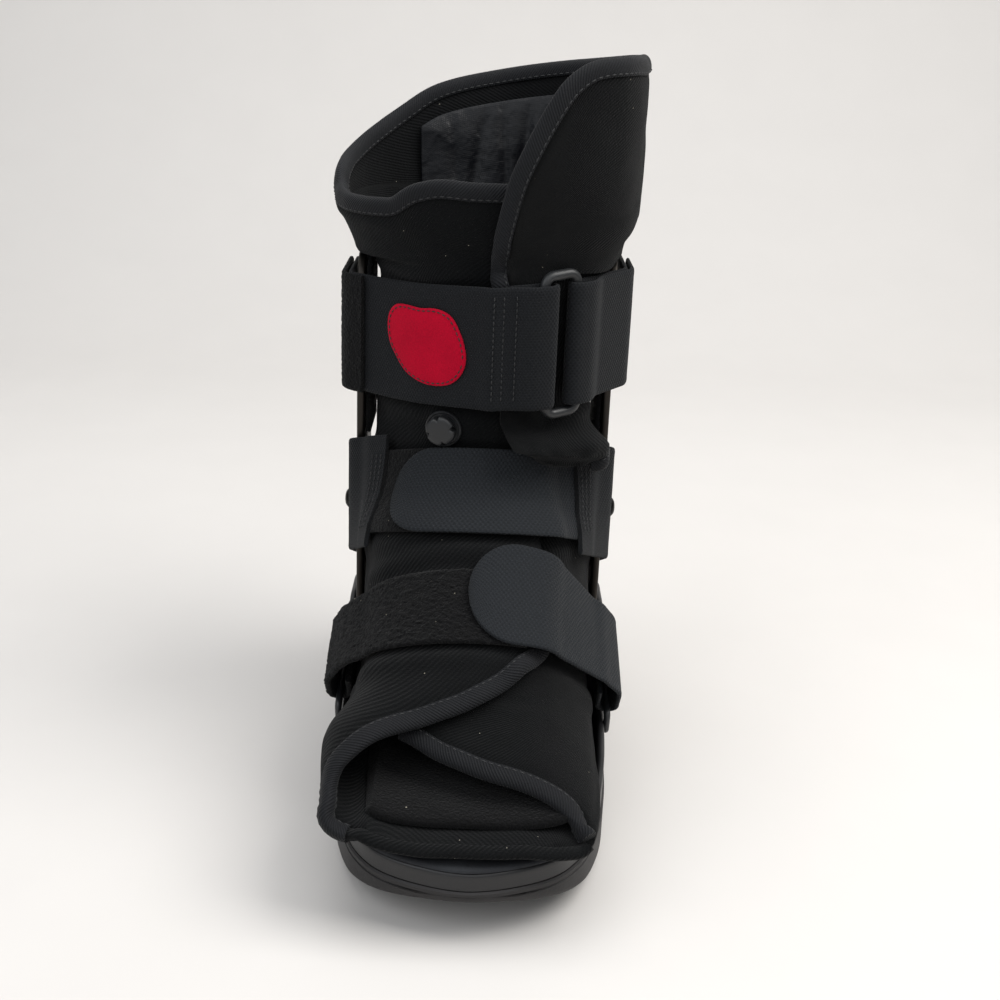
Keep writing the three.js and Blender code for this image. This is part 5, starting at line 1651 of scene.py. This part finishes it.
class BOOT_OT_bindings(bpy.types.Operator):
    """Build the tapes on the wraps' edges and their stitches"""

    bl_idname = "boot.bindings"
    bl_label = "Bindings"

    def execute(self, context):
        lines, ups = [], []
        for name, frames, node_name in (
            ("calf_tape", calf_frames(), ["calf_binding"]), ("foot_tape", foot_frames(), ["foot_binding"]),
            ("calf_tail_tape", tail_frames(), []), ("toe_tape", toe_frames(), []),
        ):
            dress(tape(name, frames), "tape", *node_name)
            centre, out, normal = frames
            for side in (1, -1):
                lines.append(centre + out * 0.55 + normal * side * 3.1)
                ups.append(normal * side)
        dress(stitches("tape_stitches", lines, ups, pitch=sizes().stitch_pitch * 1000), "tape")
        dress(tape("toe_roll", roll_frames(), "liner", size=0.72), "liner_fabric")
        return {"FINISHED"}


class BOOT_OT_linings(bpy.types.Operator):
    """Build the air cell and the insole"""

    bl_idname = "boot.linings"
    bl_label = "Linings"

    def execute(self, context):
        dress(air_cell(), "nylon", "air_cell")
        dress(insole(), "loop_fabric", "insole")
        return {"FINISHED"}


class BOOT_OT_calf_strap(bpy.types.Operator):
    """Build the calf strap, its ring and its badge"""

    bl_idname = "boot.calf_strap"
    bl_label = "Calf strap"

    def execute(self, context):
        first, second, sleeve = calf_strap()
        dress(sleeve, "loop_fabric")
        dress(first, "webbing", "calf_strap_left")
        dress(second, "webbing", "calf_strap_right")
        dress(calf_ring(), "ring_plastic", "calf_ring")
        felt, (line, up) = badge()
        dress(felt, "felt", "patch")
        lines, ups = [line], [up]
        band = bands()["calf"]
        left, _ = ring_bars()
        for back in (8, 11.5, 16, 19.5):
            v = np.linspace(0.06, 0.94, 40)
            off = LAYER_2 + WEB / 2 if back > 14 else LAYER_2 + WEB / 2 + 1.2
            lines.append(band.at(left - back + 0 * v, v, off))
            ups.append(band.normal_at(left - back + 0 * v, v))
        dress(stitches("strap_stitches", lines, ups, pitch=2.4, length=1.7), "webbing")
        return {"FINISHED"}


class BOOT_OT_ankle_strap(bpy.types.Operator):
    """Build the ankle strap's loop, tab and bases"""

    bl_idname = "boot.ankle_strap"
    bl_label = "Ankle strap"

    def execute(self, context):
        loop, tab, (left, right) = ankle_strap()
        dress(loop, "loop_fabric", "ankle_loop_strap")
        dress(tab, "hook_webbing", "ankle_tab")
        dress(left, "webbing", "ankle_base_left")
        dress(right, "webbing", "ankle_base_right")
        band, base = bands()["tab"], bands()["base"]
        join = band.length_at_x(-39.5)
        lines, ups = [], []
        for way in (-1, 1):
            for back in (2, 5, 8):
                v = np.linspace(0.16, 0.84, 40)
                length = way * -join + way * back + 0 * v
                lines.append(base.at(length, v, LAYER_2 + WEB / 2))
                ups.append(base.normal_at(length, v))
        dress(stitches("ankle_stitches", lines, ups, pitch=2.4, length=1.7), "webbing")
        return {"FINISHED"}


class BOOT_OT_foot_strap(bpy.types.Operator):
    """Build the foot strap's loop, tab and slots"""

    bl_idname = "boot.foot_strap"
    bl_label = "Foot strap"

    def execute(self, context):
        loop, tab = foot_strap()
        dress(loop, "loop_fabric", "foot_loop_strap")
        dress(tab, "hook_webbing", "foot_tab")
        dress(foot_slot(-1, "slot_frame_left"), "ring_plastic", "foot_slot_left")
        dress(foot_slot(1, "slot_frame_right"), "ring_plastic", "foot_slot_right")
        return {"FINISHED"}


class BOOT_OT_valve(bpy.types.Operator):
    """Build the valve's collar and its turning knob"""

    bl_idname = "boot.valve"
    bl_label = "Valve"

    def execute(self, context):
        collar, knob = valve()
        dress(collar, "valve_plastic", "valve_collar")
        dress(knob, "valve_plastic", "valve_knob", body="knob")
        return {"FINISHED"}


class BOOT_OT_stage(bpy.types.Operator):
    """Make the floor, the lights and the camera"""

    bl_idname = "boot.stage"
    bl_label = "Stage"

    def execute(self, context):
        scene = context.scene
        pale = scene.boot_stage.floor
        made, tree, shader = finish("floor_painted_matte", {"Roughness": 0.8})
        grain = mottle(tree, 60, 4.0)
        tint(tree, shader, grain, (*[c * 0.96 for c in pale], 1), (*pale, 1))
        profile = [(-3000, 0), (600, 0)]
        sweep = np.linspace(0.1, math.pi / 2, 12)
        profile += [(600 + 500 * math.sin(t), 500 - 500 * math.cos(t)) for t in sweep]
        profile += [(1100, 3000)]
        points = [(x, y, z) for y, z in profile for x in (-4000, 4000)]
        faces = [(2 * i, 2 * i + 1, 2 * i + 3, 2 * i + 2) for i in range(len(profile) - 1)]
        piece("studio_floor", points, faces, made, crease=180)
        for name, place, size, power, tone in (
            ("key", (0.75, -0.15, 1.15), 0.9, 17, (1, 0.98, 0.95)),
            ("fill", (-0.9, -0.7, 1.0), 1.2, 8, (0.95, 0.97, 1)),
            ("top", (-0.1, 0.2, 1.5), 1.2, 12, (1, 1, 1)),
            ("front", (0.15, -1.3, 1.0), 0.9, 3.5, (1, 1, 1)),
        ):
            lamp = bpy.data.lights.new(name, "AREA")
            lamp.size = size
            lamp.energy = power
            lamp.color = tone
            lit = bpy.data.objects.new(name, lamp)
            lit.location = place
            lit.rotation_euler = (Vector((0, 0, 0.13)) - Vector(place)).to_track_quat("-Z", "Y").to_euler()
            scene.collection.objects.link(lit)
        world = bpy.data.worlds.new("studio")
        scene.world = world
        world.use_nodes = True
        world.node_tree.nodes["Background"].inputs[0].default_value = (0.9, 0.95, 1, 1)
        world.node_tree.nodes["Background"].inputs[1].default_value = 0.32
        scene.view_settings.view_transform = "Standard"
        place_camera(scene)
        return {"FINISHED"}


def place_camera(scene):
    s = scene.boot_sizes
    target = Vector((*((np.array([0, 2.7, 105]) + SHIFT) / 1000),))
    pitch, roll = s.camera_pitch, s.camera_roll
    back = Vector((0, -math.cos(pitch), math.sin(pitch)))
    right, up = Vector((1, 0, 0)), Vector((0, math.sin(pitch), math.cos(pitch)))
    turned_right = right * math.cos(roll) + up * math.sin(roll)
    turned_up = up * math.cos(roll) - right * math.sin(roll)
    lens = bpy.data.cameras.new("camera")
    lens.lens = s.lens
    lens.sensor_width = 36
    lens.shift_x = 0.02
    lens.clip_start, lens.clip_end = 0.05, 20
    camera = bpy.data.objects.new("camera", lens)
    camera.matrix_world = Matrix.Translation(target + back * s.camera_distance) @ Matrix(
        (turned_right, turned_up, back)
    ).transposed().to_4x4()
    scene.collection.objects.link(camera)
    scene.camera = camera


class BOOT_PT_panel(bpy.types.Panel):
    """Lists the sizes, the colours and the operators"""

    bl_label = "Walking boot"
    bl_idname = "BOOT_PT_panel"
    bl_space_type = "VIEW_3D"
    bl_region_type = "UI"
    bl_category = "Boot"

    def draw(self, context):
        for group in (context.scene.boot_sizes, context.scene.boot_colours, context.scene.boot_stage):
            box = self.layout.box()
            for name in group.__annotations__:
                box.prop(group, name)
        for operator in OPERATORS:
            self.layout.operator(operator.bl_idname)


GROUPS = {"boot_sizes": BootSizes, "boot_colours": BootColours, "boot_stage": StageColours}
OPERATORS = (
    BOOT_OT_finishes, BOOT_OT_sole, BOOT_OT_struts, BOOT_OT_wraps, BOOT_OT_bindings, BOOT_OT_linings,
    BOOT_OT_calf_strap, BOOT_OT_ankle_strap, BOOT_OT_foot_strap, BOOT_OT_valve, BOOT_OT_stage,
)


def register():
    for group in GROUPS.values():
        bpy.utils.register_class(group)
    for name, group in GROUPS.items():
        setattr(bpy.types.Scene, name, PointerProperty(type=group))
    for operator in OPERATORS:
        bpy.utils.register_class(operator)
    bpy.utils.register_class(BOOT_PT_panel)


def unregister():
    bpy.utils.unregister_class(BOOT_PT_panel)
    for operator in reversed(OPERATORS):
        bpy.utils.unregister_class(operator)
    for name, group in reversed(GROUPS.items()):
        delattr(bpy.types.Scene, name)
        bpy.utils.unregister_class(group)


def main():
    register()
    for operator in OPERATORS:
        group, name = operator.bl_idname.split(".")
        getattr(getattr(bpy.ops, group), name)()


if __name__ == "__main__":
    main()
